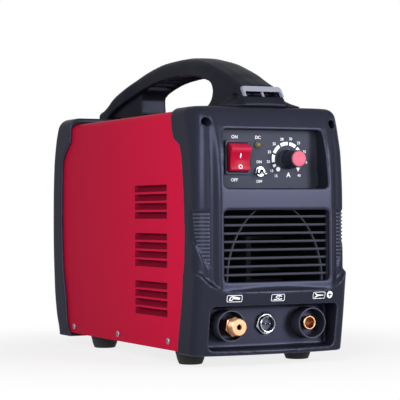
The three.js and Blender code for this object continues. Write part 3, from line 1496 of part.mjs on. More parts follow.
function buildFanFrame() {
  const square = roundedRect(0, FAN_Z, FAN_SIZE, FAN_SIZE, FAN_ROUND);
  square.holes.push(circle(0, FAN_Z, FAN_BORE, 30));
  const ring = prism(square, "y", FAN_FRONT, FAN_SEAT, 1);
  const plate = moved(rod(HUB_RADIUS, FAN_FRONT, FAN_FRONT + STRUT_DEPTH, 20), 0, 0, FAN_Z);
  const spindle = moved(rod(SPINDLE, FAN_FRONT + 3, FAN_SEAT - 4, 10), 0, 0, FAN_Z);
  const struts = [0, 1, 2, 3].map((i) => {
    const strut = block(
      HUB_RADIUS - 2, FAN_BORE + 2, FAN_FRONT, FAN_FRONT + STRUT_DEPTH - 0.5, -STRUT_HALF, STRUT_HALF,
    );
    return moved(closed(strut.rotateY(Math.PI / 4 + (i * Math.PI) / 2)), 0, 0, FAN_Z);
  });
  return join(ring, plate, spindle, ...struts);
}

function buildFanRotor() {
  const [front, back] = [FAN_FRONT + STRUT_DEPTH + RUNNING_GAP, FAN_SEAT - 3];
  const hub = turned([
    [SPINDLE + GAP, front],
    [HUB_RADIUS - 1, front],
    [HUB_RADIUS, front + 1],
    [HUB_RADIUS, back - 1.5],
    [HUB_RADIUS - 1.5, back],
    [0, back],
    [0, back - 0.5],
    [SPINDLE + GAP, back - 0.5],
    [SPINDLE + GAP, front],
  ], 14);
  const section = (radius, chord, turn) => {
    const thick = BLADE_HALF_THICK;
    const middle = (front + back) / 2;
    const corners = [[-chord, -thick], [chord, -thick], [chord, thick], [-chord, thick]];
    return corners.map(([a, b]) => [
      a * Math.cos(turn) - b * Math.sin(turn),
      middle + a * Math.sin(turn) + b * Math.cos(turn),
      radius,
    ]);
  };
  const blade = loft([
    section(HUB_RADIUS - 1, 7, 0.95),
    section((HUB_RADIUS + FAN_BORE) / 2 - 2.5, 10, 0.68),
    section(FAN_BORE - 2 * RUNNING_GAP, 13, 0.5),
  ], 2);
  const blades = Array.from({ length: BLADES }, (_, i) =>
    closed(blade.clone().rotateY((i * 2 * Math.PI) / BLADES)),
  );
  return moved(join(hub, ...blades), 0, 0, FAN_Z);
}

add("fan_frame", buildFanFrame(), BLACK_ABS);
add("fan_rotor", buildFanRotor(), BLACK_ABS);

// Concentric wires of the finger guard, held by four arms.
function buildGuard() {
  const front = FAN_SEAT + GAP;
  const radii = [GUARD_RADIUS, (GUARD_RADIUS + FAN_BORE) / 2 - 0.5, FAN_BORE - 1];
  const rings = radii.map((r) => tube(r - 1, r + 1, front, front + GUARD_DEPTH, 16));
  const arm = block(-1, 1, front, front + GUARD_DEPTH + 0.4, GUARD_RADIUS, FAN_BORE);
  const arms = [0, 1, 2, 3].map((i) => closed(arm.clone().rotateY(Math.PI / 4 + (i * Math.PI) / 2)));
  return moved(join(...rings, ...arms), 0, 0, FAN_Z);
}

add("fan_guard", buildGuard(), STEEL);

// ---------------------------------------------------------------- rear fittings

add(
  "cable_gland",
  moved(
    cut(
      join(
        prism(hexagon(0, 0, GLAND_HEX), "y", REAR_FACE, REAR_FACE + FITTING_HEX_THICK),
        turned([
          [0, REAR_FACE + 5],
          [GLAND_RADIUS, REAR_FACE + 5],
          [GLAND_RADIUS, REAR_SEAT + GLAND_REACH - 5],
          [GLAND_RADIUS - 2.4, REAR_SEAT + GLAND_REACH],
          [0, REAR_SEAT + GLAND_REACH],
        ], 18),
        rod(GLAND_THREAD, REAR_INSIDE - STEM_LENGTH, REAR_FACE + 1, 16),
      ),
      rod(GLAND_BORE, REAR_INSIDE - 10, REAR_SEAT + GLAND_REACH + 1, 14),
    ),
    FITTING_X, 0, FITTING_Z,
  ),
  BLACK_ABS,
);
add(
  "gland_nut",
  hexNut(FITTING_X, FITTING_Z, GLAND_NUT, GLAND_THREAD + GAP, REAR_INSIDE - 4, REAR_INSIDE),
  BLACK_ABS,
);

function buildGasInlet() {
  const barbs = [8, 12, 16].flatMap((step) => [
    [BARB + 0.7, REAR_FACE + step - 1],
    [BARB - 0.5, REAR_FACE + step + 2.2],
  ]);
  const nozzle = turned([
    [0, REAR_FACE + 5],
    [BARB, REAR_FACE + 5],
    ...barbs,
    [BARB - 0.8, REAR_SEAT + INLET_REACH],
    [0, REAR_SEAT + INLET_REACH],
  ], 12);
  const hex = prism(hexagon(0, 0, INLET_HEX), "y", REAR_FACE, REAR_FACE + FITTING_HEX_THICK);
  const stem = rod(INLET_THREAD, INLET_TAIL, REAR_FACE + 1, 12);
  return moved(
    cut(join(nozzle, hex, stem), rod(INLET_BORE, INLET_TAIL - 1, REAR_SEAT + INLET_REACH + 1, 8)),
    -FITTING_X, 0, FITTING_Z,
  );
}

add("gas_inlet", buildGasInlet(), BRASS);

add(
  "earth_stud",
  moved(
    join(
      prism(hexagon(0, 0, STUD_HEX), "y", REAR_INSIDE - 4, REAR_INSIDE),
      turned([
        [0, REAR_INSIDE - 1],
        [STUD_RADIUS, REAR_INSIDE - 1],
        [STUD_RADIUS, REAR_SEAT + STUD_REACH - 0.8],
        [STUD_RADIUS - 0.6, REAR_SEAT + STUD_REACH],
        [0, REAR_SEAT + STUD_REACH],
      ], 16),
    ),
    0, 0, FITTING_Z,
  ),
  STEEL,
);
add(
  "earth_nut",
  hexNut(0, FITTING_Z, STUD_HEX, STUD_RADIUS + GAP, REAR_FACE, REAR_FACE + STUD_NUT_THICK),
  STEEL,
);

// ---------------------------------------------------------------- inside

add(
  "power_board",
  block(-BOARD_HALF_X, BOARD_HALF_X, BOARD_Y - BOARD_HALF_Y, BOARD_Y + BOARD_HALF_Y, BOARD_Z, BOARD_TOP),
  GREEN_BOARD,
);

// Comb extrusions: an upright base towards the middle and level fins pointing outwards.
function buildHeatSink() {
  const pitch = (SINK_HEIGHT - SINK_FIN) / (SINK_FINS - 1);
  const points = [[SINK_X, ON_BOARD]];
  for (let i = 0; i < SINK_FINS; i += 1) {
    const z = ON_BOARD + i * pitch;
    points.push([SINK_X + SINK_REACH, z], [SINK_X + SINK_REACH, z + SINK_FIN]);
    if (i < SINK_FINS - 1) points.push([SINK_X + SINK_BASE, z + SINK_FIN], [SINK_X + SINK_BASE, z + pitch]);
  }
  points.push([SINK_X, ON_BOARD + SINK_HEIGHT]);
  return prism(polygon(points), "y", SINK_FRONT, SINK_BACK);
}

add("right_heat_sink", buildHeatSink(), ALUMINIUM);
add("left_heat_sink", mirrored(buildHeatSink()), ALUMINIUM);

// Ferrite core of two windows, with the winding round its middle limb.
function buildCore() {
  const middle = ON_BOARD + CORE_TALL / 2;
  const shape = roundedRect(CORE_X, middle, 2 * CORE_HALF, CORE_TALL, 2);
  for (const side of [-1, 1]) {
    const x = CORE_X + side * (LIMB + WINDOW / 2);
    shape.holes.push(roundedRect(x, middle, WINDOW, CORE_TALL - 2 * CORE_YOKE, 0));
  }
  return prism(shape, "y", CORE_FRONT, CORE_FRONT + CORE_DEPTH, 1);
}

function buildCoil() {
  const [across, deep] = [2 * (LIMB + WINDOW - GAP), CORE_DEPTH + 2 * (WINDOW - GAP)];
  const middle = CORE_FRONT + CORE_DEPTH / 2;
  const shape = roundedRect(CORE_X, middle, across, deep, 8);
  shape.holes.push(roundedRect(CORE_X, middle, 2 * (LIMB + GAP), CORE_DEPTH + 2 * GAP, 0));
  return prism(shape, "z", ON_BOARD + CORE_YOKE + GAP, ON_BOARD + CORE_TALL - CORE_YOKE - GAP, 2);
}

add("transformer_core", buildCore(), FERRITE);
add("transformer_coil", buildCoil(), COPPER);

for (const [name, place] of [["left_capacitor", -1], ["middle_capacitor", 0], ["right_capacitor", 1]]) {
  const can = turnedUp([
    [0, ON_BOARD],
    [CAN_RADIUS - 1, ON_BOARD],
    [CAN_RADIUS, ON_BOARD + 2],
    [CAN_RADIUS, ON_BOARD + CAN_TALL - 1],
    [CAN_RADIUS - 1, ON_BOARD + CAN_TALL],
    [0, ON_BOARD + CAN_TALL],
  ], 14);
  add(name, moved(can, place * CAN_PITCH, CAN_Y, 0), FERRITE);
}

add(
  "output_choke",
  moved(
    turnedUp([
      [CHOKE_BORE, ON_BOARD + 2],
      [CHOKE_BORE + 2, ON_BOARD],
      [CHOKE_RADIUS - 2, ON_BOARD],
      [CHOKE_RADIUS, ON_BOARD + 2],
      [CHOKE_RADIUS, ON_BOARD + CHOKE_TALL - 2],
      [CHOKE_RADIUS - 2, ON_BOARD + CHOKE_TALL],
      [CHOKE_BORE + 2, ON_BOARD + CHOKE_TALL],
      [CHOKE_BORE, ON_BOARD + CHOKE_TALL - 2],
      [CHOKE_BORE, ON_BOARD + 2],
    ], 12),
    CHOKE_X, CHOKE_Y, 0,
  ),
  COPPER,
);

// The gas valve is screwed onto the inlet's stem and feeds the torch fitting through a hose.
function buildValve() {
  const body = block(
    -FITTING_X - VALVE_HALF, -FITTING_X + VALVE_HALF, VALVE_FRONT, VALVE_BACK,
    FITTING_Z - VALVE_HALF_TALL, FITTING_Z + VALVE_HALF_TALL,
  );
  const spout = rod(HOSE_RADIUS - 1, VALVE_FRONT - VALVE_OUTLET, VALVE_FRONT + 2, 16);
  const outlet = moved(spout, -FITTING_X, 0, FITTING_Z);
  const bore = moved(rod(INLET_BORE, VALVE_BACK - 6, VALVE_BACK + 1, 12), -FITTING_X, 0, FITTING_Z);
  return cut(join(body, outlet), bore);
}

add("gas_valve", buildValve(), BRASS);
add(
  "valve_coil",
  block(
    -FITTING_X - COIL_HALF, -FITTING_X + COIL_HALF, VALVE_FRONT + 2, VALVE_BACK - 2,
    FITTING_Z + VALVE_HALF_TALL + GAP, FITTING_Z + COIL_TOP,
  ),
  FERRITE,
);

const hoseRoute = new THREE.CatmullRomCurve3([
  new THREE.Vector3(-FITTING_X, VALVE_FRONT - VALVE_OUTLET - GAP, FITTING_Z),
  new THREE.Vector3(-FITTING_X, VALVE_FRONT - 12, FITTING_Z),
  new THREE.Vector3(-FITTING_X - 12, VALVE_FRONT - 24, FITTING_Z - 3),
  new THREE.Vector3(HOSE_LANE, VALVE_FRONT - 42, SOCKET_HEIGHT - 1),
  new THREE.Vector3(HOSE_LANE, VALVE_FRONT - 70, SOCKET_HEIGHT - 2),
  new THREE.Vector3(HOSE_LANE, -40, SOCKET_HEIGHT - 2),
  new THREE.Vector3(HOSE_LANE, NOSE + 80.5, SOCKET_HEIGHT - 2),
  new THREE.Vector3(HOSE_LANE + 9, NOSE + 66.5, SOCKET_HEIGHT - 1),
  new THREE.Vector3(-SOCKET_PITCH, TORCH_TAIL + 8, SOCKET_HEIGHT),
  new THREE.Vector3(-SOCKET_PITCH, TORCH_TAIL + GAP, SOCKET_HEIGHT),
]);

function buildHose() {
  const section = circle(0, 0, HOSE_RADIUS, 6);
  const settings = { steps: 16, bevelEnabled: false, extrudePath: hoseRoute };
  return closed(new THREE.ExtrudeGeometry(section, settings));
}

add("gas_hose", buildHose(), HOSE_BLUE);

// The overall box is centred: the gland reaches past the back, so everything moves forward by half.
const OVERHANG = REAR_SEAT + GLAND_REACH - BACK;
group.position.y = -OVERHANG / 2;

export default group;
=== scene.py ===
import math

import bmesh
import bpy
from mathutils import Matrix, Vector


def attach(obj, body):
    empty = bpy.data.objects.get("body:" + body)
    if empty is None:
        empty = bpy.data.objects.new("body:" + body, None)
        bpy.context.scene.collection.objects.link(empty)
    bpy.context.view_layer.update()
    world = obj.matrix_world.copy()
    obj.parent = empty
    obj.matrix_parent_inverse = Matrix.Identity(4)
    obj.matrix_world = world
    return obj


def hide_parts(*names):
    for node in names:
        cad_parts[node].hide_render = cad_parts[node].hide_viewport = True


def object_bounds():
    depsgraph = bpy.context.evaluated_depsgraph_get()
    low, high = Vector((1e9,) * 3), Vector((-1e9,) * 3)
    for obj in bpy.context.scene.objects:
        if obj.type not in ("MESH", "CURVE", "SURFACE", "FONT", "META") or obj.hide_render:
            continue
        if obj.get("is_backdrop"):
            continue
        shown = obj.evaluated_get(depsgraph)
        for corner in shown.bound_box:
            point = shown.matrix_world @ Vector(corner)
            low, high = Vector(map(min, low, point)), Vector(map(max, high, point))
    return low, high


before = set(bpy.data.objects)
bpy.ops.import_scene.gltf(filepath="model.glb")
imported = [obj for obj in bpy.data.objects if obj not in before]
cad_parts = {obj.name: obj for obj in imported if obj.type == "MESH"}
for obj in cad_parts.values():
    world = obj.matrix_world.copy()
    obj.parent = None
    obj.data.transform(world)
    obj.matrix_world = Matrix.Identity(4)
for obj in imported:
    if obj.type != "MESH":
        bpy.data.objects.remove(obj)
cad_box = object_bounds()
scene = bpy.context.scene
scene.view_settings.view_transform = "Standard"

# A portable plasma cutter unit: red powder-coated cover, black moulded ends and handle.
# Lengths are millimetres in the drawing's frame, where y = 0 lies halfway between the nose and
# the back of the housing, until place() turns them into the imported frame's metres.

MM = 0.001
DRAWING_SHIFT = -7.0  # the cable gland reaches past the back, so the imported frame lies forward
GAP = 0.3
AXIS = 0.01  # the radius at which a turned profile closes on its axis
INK = 0.08  # how far a print stands proud

# ---------------------------------------------------------------- sizes of the housing

WIDTH = 155.0
LENGTH = 369.0
NOSE = -LENGTH / 2
BACK = LENGTH / 2
HALF = WIDTH / 2
CHIN_STEP = 0.6
SIDE_HALF = HALF - CHIN_STEP
PANEL_BOTTOM = 10.9
PANEL_TOP = 234.6
REAR_BOTTOM = 9.0
REAR_TOP = 239.0
WALL = 2.2
SHEET = 1.2
CORNER = 12.0
TOP_ROUND = 9.0
REAR_ROUND = 11.0
COVER_HALF = SIDE_HALF - WALL - GAP
COVER_TOP = PANEL_TOP - WALL - GAP
COVER_FRONT = NOSE + 34
COVER_BACK = BACK - 20
COVER_BEND = 7.0
BASE_Z = PANEL_BOTTOM + WALL + GAP

PLATEAU_HALF = 60.0
PLATEAU_SETBACK = 4.5
PILLAR_SETBACK = 11.5
LEAN_TOP = 14.5
PILLAR_LEAN = 0.6
CORNER_LEAN = 0.65
CHIN_EDGE = 69.0
CHIN_BOW = 8.0
CHIN_SLOPE = 0.2
CHIN_RISE = 16.0
CHIN_FLAT = CHIN_EDGE - 1.5  # the chin runs back from here down

RECESS = dict(low=160.0, high=214.0, half_low=53.6, half_high=51.6, rounding=5.0, draft=1.0)
GRILLE = dict(low=76.5, high=141.0, half_low=54.0, half_high=54.0, rounding=4.0, draft=0.6)
POCKET = dict(low=14.8, high=56.0, half_low=65.5, half_high=65.5, rounding=6.0, draft=1.6)
PLATE_Y = NOSE + 24.5
PLATE_BACK = PLATE_Y + 2
POCKET_BACK = NOSE + 30.5
GRILLE_SEAT = NOSE + PLATEAU_SETBACK + 4.8
SOCKET_PITCH = 41.5
SOCKET_Z = 37.3
SCREW_X = PLATEAU_HALF + 4.7
SCREW_Z = PANEL_TOP - 15

FAN_Z = 148.0
FAN_FACE = BACK - WALL - 6.2
REAR_SEAT = BACK - 7
FITTING_X = 42.0
FITTING_Z = 46.0

# ---------------------------------------------------------------- forms as (points, faces)


def through(pairs):
    """A smooth value between given (place, value) pairs, flat beyond the ends."""
    slopes = [0.0] * len(pairs)
    for i in range(1, len(pairs) - 1):
        (p0, v0), (p1, v1), (p2, v2) = pairs[i - 1 : i + 2]
        before, after = (v1 - v0) / (p1 - p0), (v2 - v1) / (p2 - p1)
        if before * after > 0:
            slopes[i] = 2 * before * after / (before + after)

    def value(place):
        if place <= pairs[0][0]:
            return pairs[0][1]
        if place >= pairs[-1][0]:
            return pairs[-1][1]
        i = next(k for k, pair in enumerate(pairs) if pair[0] >= place)
        (p0, v0), (p1, v1) = pairs[i - 1], pairs[i]
        step = p1 - p0
        t = (place - p0) / step
        return (
            (1 + 2 * t) * (1 - t) ** 2 * v0
            + t * (1 - t) ** 2 * step * slopes[i - 1]
            + t * t * (3 - 2 * t) * v1
            + t * t * (t - 1) * step * slopes[i]
        )

    return value


def spread(low, high, step):
    """Evenly spaced places from low to high, about a step apart, both ends among them."""
    count = max(1, round((high - low) / step))
    return [low + (high - low) * k / count for k in range(count + 1)]


def loft(rings, looped=False):
    """A skin through closed rings of equal count, capped at both ends unless it runs round."""
    count = len(rings[0])
    points = [p for ring in rings for p in ring]
    faces = []
    last = len(rings) if looped else len(rings) - 1
    for k in range(last):
        after = (k + 1) % len(rings)
        for i in range(count):
            j = (i + 1) % count
            faces.append((k * count + i, k * count + j, after * count + j, after * count + i))
    if not looped:
        faces.append(tuple(reversed(range(count))))
        faces.append(tuple(range((len(rings) - 1) * count, len(rings) * count)))
    return points, faces


AXES = {"x": (2, 0, 1), "y": (0, 2, 1), "z": (0, 1, 2)}  # where (a, b, depth) go as x, y, z


def put(axis, a, b, depth):
    """The point at (a, b) across an axis and at a depth along it."""
    return tuple((a, b, depth)[k] for k in AXES[axis])


def prism(outline, axis, low, high):
    """An outline pushed along one axis. Across X it is (y, z), across Y (x, z), across Z (x, y)."""
    return loft([[put(axis, a, b, depth) for a, b in outline] for depth in (low, high)])


def block(x0, x1, y0, y1, z0, z1):
    return prism([(x0, y0), (x1, y0), (x1, y1), (x0, y1)], "z", z0, z1)


def polar(a, b, radius, degrees):
    turn = math.radians(degrees)
    return a + radius * math.cos(turn), b + radius * math.sin(turn)


def arc(a, b, radius, start, end, steps=6):
    return [polar(a, b, radius, start + (end - start) * k / steps) for k in range(steps + 1)]


def rounded_rect(a, b, width, height, radius, steps=6):
    points = []
    for sa, sb, start in ((1, -1, -90), (1, 1, 0), (-1, 1, 90), (-1, -1, 180)):
        ca, cb = a + sa * (width / 2 - radius), b + sb * (height / 2 - radius)
        points += arc(ca, cb, radius, start, start + 90, steps)
    return points


def plate(x, z, width, height, radius, front, back, steps=6):
    """A rounded rectangle seen from the front, between two depths."""
    return prism(rounded_rect(x, z, width, height, radius, steps), "y", front, back)


def ring_points(a, b, radius, sides=48, start=0.0):
    turns = [start + 2 * math.pi * k / sides for k in range(sides)]
    return [(a + radius * math.cos(t), b + radius * math.sin(t)) for t in turns]


def hexagon(x, z, across_flats, turn=0.0):
    return ring_points(x, z, across_flats / math.sqrt(3), 6, turn)


def turned(profile, a=0.0, b=0.0, sides=64, ripple=None, axis="y"):
    """A profile of (radius, depth) turned about an axis through (a, b).
    ripple gives a share of the radius added at each turn and depth."""
    rings = []
    for k in range(sides):
        turn = 2 * math.pi * k / sides
        ring = []
        for radius, depth in profile:
            r = radius * (1 + ripple(turn, depth)) if ripple else radius
            ring.append(put(axis, a + r * math.cos(turn), b + r * math.sin(turn), depth))
        rings.append(ring)
    return loft(rings, looped=True)


def full(profile, *where, **how):
    """A turned form whose profile runs in to the axis at both ends."""
    return turned([(AXIS, profile[0][1]), *profile, (AXIS, profile[-1][1])], *where, **how)


def behind(face, *pairs):
    """Profile points given as (radius, distance behind a face)."""
    return [(radius, face + distance) for radius, distance in pairs]


def beyond(start, *pairs):
    """(place, value) pairs whose places are given from a start."""
    return [(start + at, value) for at, value in pairs]


def grooves(first, pitch, count, *pairs):
    """The profile of a thread: the points of one groove, repeated at a pitch."""
    return [point for k in range(count) for point in behind(first + k * pitch, *pairs)]


def tube(inner, outer, low, high, x, z):
    """A ring turned about Y with its edges rounded over."""
    rim = 0.4
    profile = [
        (inner, low + rim), (inner + rim, low), (outer - rim, low), (outer, low + rim),
        (outer, high - rim), (outer - rim, high), (inner + rim, high), (inner, high - rim),
    ]
    return turned(profile, x, z)


def rod(radius, low, high, x, z, sides=48):
    return prism(ring_points(x, z, radius, sides), "y", low, high)


def mirrored(form):
    points, faces = form
    return [(-p[0], p[1], p[2]) for p in points], [tuple(reversed(f)) for f in faces]


def about(form, matrix):
    points, faces = form
    return [tuple(matrix @ Vector(p)) for p in points], faces


def seated(x, y, z, degrees, axis="X"):
    """The matrix of a turn about an axis, followed by a move."""
    return Matrix.Translation((x, y, z)) @ Matrix.Rotation(math.radians(degrees), 4, axis)


def together(*forms):
    points, faces = [], []
    for more_points, more_faces in forms:
        faces += [tuple(i + len(points) for i in face) for face in more_faces]
        points += more_points
    return points, faces


def quarter(radius):
    """Pairs of (inset, lift) round a quarter turn from a wall's edge to a flat top."""
    turns = [k / 6 * math.pi / 2 for k in range(7)]
    return [(radius * (1 - math.cos(t)), radius * math.sin(t)) for t in turns]


def corner_arc(half, face, radius, towards, steps=10):
    """Points (x, y) round an upright corner, from the side to a face; towards is -1 at the front."""
    turns = [k / steps * math.pi / 2 for k in range(steps + 1)]
    return [
        (half - radius * (1 - math.cos(t)), face - towards * radius * (1 - math.sin(t)))
        for t in turns
    ]


def both_halves(half):
    return half + [(-x, y, z) for x, y, z in reversed(half)]


# ---------------------------------------------------------------- meshes

WELD_MM = 1e-4


def solid(*forms):
    """An object in drawing millimetres made of closed forms, its faces turned outwards."""
    points, faces = together(*forms)
    mesh = bpy.data.meshes.new("form")
    mesh.from_pydata(points, [], faces)
    draft = bmesh.new()
    draft.from_mesh(mesh)
    bmesh.ops.remove_doubles(draft, verts=draft.verts, dist=WELD_MM)
    bmesh.ops.recalc_face_normals(draft, faces=draft.faces)
    draft.to_mesh(mesh)
    draft.free()
    made = bpy.data.objects.new("form", mesh)
    scene.collection.objects.link(made)
    return made


def as_object(part):
    """An object as it is, or a form made into one."""
    return solid(part) if isinstance(part, tuple) else part


def copied(made):
    other = made.copy()
    other.data = made.data.copy()
    scene.collection.objects.link(other)
    return other


def settled(made):
    """Applies the modifiers of an object to its mesh."""
    evaluated = made.evaluated_get(bpy.context.evaluated_depsgraph_get())
    mesh = bpy.data.meshes.new_from_object(evaluated)
    made.modifiers.clear()
    made.data = mesh
    return made


def worked(made, tools, operation):
    """Works tools into a form or an object and takes the tools away."""
    made = as_object(made)
    tools = [as_object(tool) for tool in tools]
    for tool in tools:
        step = made.modifiers.new("work", "BOOLEAN")
        step.operation = operation
        step.solver = "MANIFOLD"
        step.object = tool
    settled(made)
    for tool in tools:
        bpy.data.objects.remove(tool)
    return made


def joined(made, *tools):
    return worked(made, tools, "UNION")


def cut(made, *tools):
    return worked(made, tools, "DIFFERENCE")


def shared(made, *tools):
    return worked(made, tools, "INTERSECT")


def moulded(made, voxel=1.15, faces=60000):
    """Gives a moulding its softened edges and brings it to about that many faces."""
    remesh = made.modifiers.new("remesh", "REMESH")
    remesh.mode = "VOXEL"
    remesh.voxel_size = voxel * 1
    soften = made.modifiers.new("soften", "SMOOTH")
    soften.factor = 0.5
    soften.iterations = 5
    settled(made)
    thin = made.modifiers.new("thin", "DECIMATE")
    thin.ratio = min(1.0, faces / max(1, 2 * len(made.data.polygons)))
    return settled(made)


def eased(made, radius, angle=30, segments=2):
    """Rounds the sharp edges of a machined or moulded piece."""
    made = as_object(made)
    bevel = made.modifiers.new("edges", "BEVEL")
    bevel.width = radius
    bevel.segments = segments
    bevel.limit_method = "ANGLE"
    bevel.angle_limit = math.radians(angle)
    bevel.use_clamp_overlap = True
    return settled(made)


def place(part, name, material, *nodes, body="housing", smooth=35):
    """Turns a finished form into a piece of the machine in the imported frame."""
    made = as_object(part)
    made.data.transform(Matrix.Scale(MM, 4) @ Matrix.Translation((0, DRAWING_SHIFT, 0)))
    made.name = made.data.name = name
    made.data.materials.clear()
    made.data.materials.append(material)
    made.data.polygons.foreach_set("use_smooth", [True] * len(made.data.polygons))
    made.data.set_sharp_from_angle(angle=math.radians(smooth))
    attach(made, body)
    if nodes:
        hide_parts(*nodes)


# ---------------------------------------------------------------- finishes

PATCH_MM = 38.0  # the size of the patches in which a finish wanders
GLOSS_WANDER = 0.12
EDGE_HIGHLIGHT = (0.515, 0.6, 0.0, 0.55)  # painted highlight on sharp edges: from a flat face to a sharp edge, and how much of it shows
MIDDLE = (0, 0, -0.12)  # brings the housing's long axis to the origin, in metres
INSIDE_SHADE = (0.001, -0.004, 0.0, 1.0)  # painted shade inside the housing: from facing outwards to facing the axis, and the share of each
COLOUR_UNDER, COLOUR_OVER, COLOUR_MIXED = 6, 7, 2  # the colour sockets of a mixing node


def linear(code):
    """An sRGB hex value as linear RGBA."""
    parts = [int(code[i : i + 2], 16) / 255 for i in (1, 3, 5)]
    return [c / 12.92 if c <= 0.04045 else ((c + 0.055) / 1.055) ** 2.4 for c in parts] + [1.0]


def add_node(tree, kind, sockets=None, **settings):
    """Adds a node with its settings; sockets maps an input to a value or to an output to link."""
    made = tree.nodes.new(kind)
    for name, value in settings.items():
        setattr(made, name, value)
    for name, value in (sockets or {}).items():
        if isinstance(value, bpy.types.NodeSocket):
            tree.links.new(value, made.inputs[name])
        else:
            made.inputs[name].default_value = value
    return made


def finish(
    name, colour, roughness, metallic=0.0, grain=0.4, depth=0.02, mottle=0.06, edge=None, inner=None,
    streak=(1, 1, 1), level=0.5, tint=(1, 1, 1), **shader,
):
    """A surface finish: its grain in mm, the depth of the grain in mm, the share by which its
    colour wanders, the colour of the painted highlight on sharp edges, the colour of the painted
    shade on the side that faces the middle of the housing, how the grain is stretched, and the
    level and tint of the reflection."""
    material = bpy.data.materials.new(name)
    material.use_nodes = True
    tree = material.node_tree
    surface = tree.nodes["Principled BSDF"]
    shader |= {"Metallic": metallic, "Specular_IOR_Level": level, "Specular_Tint": (*tint, 1)}
    for socket, value in shader.items():
        surface.inputs[socket.replace("_", " ")].default_value = value
    where = add_node(tree, "ShaderNodeTexCoord").outputs["Object"]
    stretched = add_node(tree, "ShaderNodeMapping", {"Vector": where, "Scale": streak}).outputs["Vector"]
    sockets = {"Vector": stretched, "Scale": 1 / (grain * MM), "Detail": 3.0}
    fine = add_node(tree, "ShaderNodeTexNoise", sockets).outputs["Fac"]
    sockets = {"Vector": where, "Scale": 1 / (PATCH_MM * MM), "Detail": 4.0}
    broad = add_node(tree, "ShaderNodeTexNoise", sockets).outputs["Fac"]
    sockets = {"Value": broad, "To Min": 1 - mottle, "To Max": 1 + mottle}
    shade = add_node(tree, "ShaderNodeMapRange", sockets).outputs["Result"]
    sockets = {0: linear(colour)[:3], "Scale": shade}
    paint = add_node(tree, "ShaderNodeVectorMath", sockets, operation="SCALE").outputs["Vector"]
    layers = []
    # Painted highlight: the sharper an edge, the more it takes the paler edge colour.
    if edge:
        sharpness = add_node(tree, "ShaderNodeNewGeometry").outputs["Pointiness"]
        layers.append((edge, sharpness, EDGE_HIGHLIGHT))
    # Painted shade: faces that look in towards the housing's middle are darkened to the inner colour.
    if inner:
        sockets = {0: where, 1: (1, 0, 1), 2: MIDDLE}
        outwards = add_node(tree, "ShaderNodeVectorMath", sockets, operation="MULTIPLY_ADD")
        sockets = {0: outwards.outputs["Vector"], 1: where.node.outputs["Normal"]}
        facing = add_node(tree, "ShaderNodeVectorMath", sockets, operation="DOT_PRODUCT").outputs["Value"]
        layers.append((inner, facing, INSIDE_SHADE))
    for over, value, (start, end, least, most) in layers:
        sockets = {"Value": value, "From Min": start, "From Max": end, "To Min": least, "To Max": most}
        share = add_node(tree, "ShaderNodeMapRange", sockets).outputs["Result"]
        sockets = {"Factor": share, COLOUR_UNDER: paint, COLOUR_OVER: linear(over)}
        paint = add_node(tree, "ShaderNodeMix", sockets, data_type="RGBA").outputs[COLOUR_MIXED]
    low_gloss, high_gloss = roughness * (1 - GLOSS_WANDER), roughness * (1 + GLOSS_WANDER)
    sockets = {"Value": fine, "To Min": low_gloss, "To Max": high_gloss}
    gloss = add_node(tree, "ShaderNodeMapRange", sockets).outputs["Result"]
    bump = add_node(tree, "ShaderNodeBump", {"Strength": 1.0, "Distance": depth * MM, "Height": fine})
    for output, socket in ((paint, "Base Color"), (gloss, "Roughness"), (bump.outputs["Normal"], "Normal")):
        tree.links.new(output, surface.inputs[socket])
    return material


# Moulded ABS with a spark-eroded grain: broad soft sheen, and a painted highlight that makes sharp edges
# paler.
moulded_black_abs = finish(
    "moulded_black_abs", "#1d1e27", 0.32, grain=0.55, depth=0.015, edge="#6a6d82",
    level=0.013, tint=(12, 12.6, 20),
)
# The handle is the same ABS with a finer, darker grain under the palm; its sharp edges get a faint painted
# highlight.
grip_black_abs = finish(
    "grip_black_abs", "#15161d", 0.4, grain=0.5, depth=0.015, edge="#3c3e49",
    level=0.012, tint=(9, 9.4, 14),
)
# Powder-coated sheet steel: deep red with the faint orange peel of a baked coat; painted shade turns its
# inside near black.
powder_coated_red_steel = finish(
    "powder_coated_red_steel", "#d11740", 0.42, grain=0.6, mottle=0.03, inner="#141316", level=0.012,
)
# The same coat on the louvre tongues with painted shade: a duller, deeper red, near black on the inside.
painted_shade_red_steel = finish(
    "painted_shade_red_steel", "#7f0f2a", 0.6, grain=0.6, mottle=0.08, inner="#141316", level=0.01,
)
# Screen-printed polycarbonate: a smooth satin plate, blue-grey under its hard coat.
printed_polycarbonate = finish(
    "printed_polycarbonate", "#33353f", 0.3, grain=0.3, depth=0.006, mottle=0.04,
    level=0.03, tint=(1.5, 1.55, 2.2),
)
# Painted ABS trim: light metallic grey, satin.
silver_grey_abs = finish("silver_grey_abs", "#8e909e", 0.4, grain=0.35, depth=0.01, mottle=0.05, level=0.1)
# Moulded rubber: matt, with a dusty bloom.
moulded_rubber = finish("moulded_rubber", "#17171a", 0.8, grain=0.7, depth=0.05, mottle=0.15)
# Glossy tinted polycarbonate of the switch: saturated, a little light passes into it; a painted highlight
# makes its edges and ridge paler.
red_polycarbonate = finish(
    "red_polycarbonate", "#a0082b", 0.28, grain=0.8, depth=0.004, mottle=0.04, edge="#ee5f7e",
    level=0.06, Subsurface_Weight=0.1, Subsurface_Scale=0.002,
)
# Moulded ABS knob cap: opaque salmon with a soft sheen.
salmon_abs = finish("salmon_abs", "#c95c72", 0.38, grain=0.5, depth=0.01, mottle=0.03, level=0.08)
# Machined brass: warm metal with fine turning marks round its axis.
machined_brass = finish(
    "machined_brass", "#a87e62", 0.3, metallic=1.0, grain=0.25, depth=0.012, mottle=0.08, streak=(1, 4, 1),
)
# Bright nickel plate on brass: cold and mirror-like with slight clouding.
nickel_plate = finish("nickel_plate", "#a9abb3", 0.2, metallic=1.0, grain=0.6, depth=0.003)
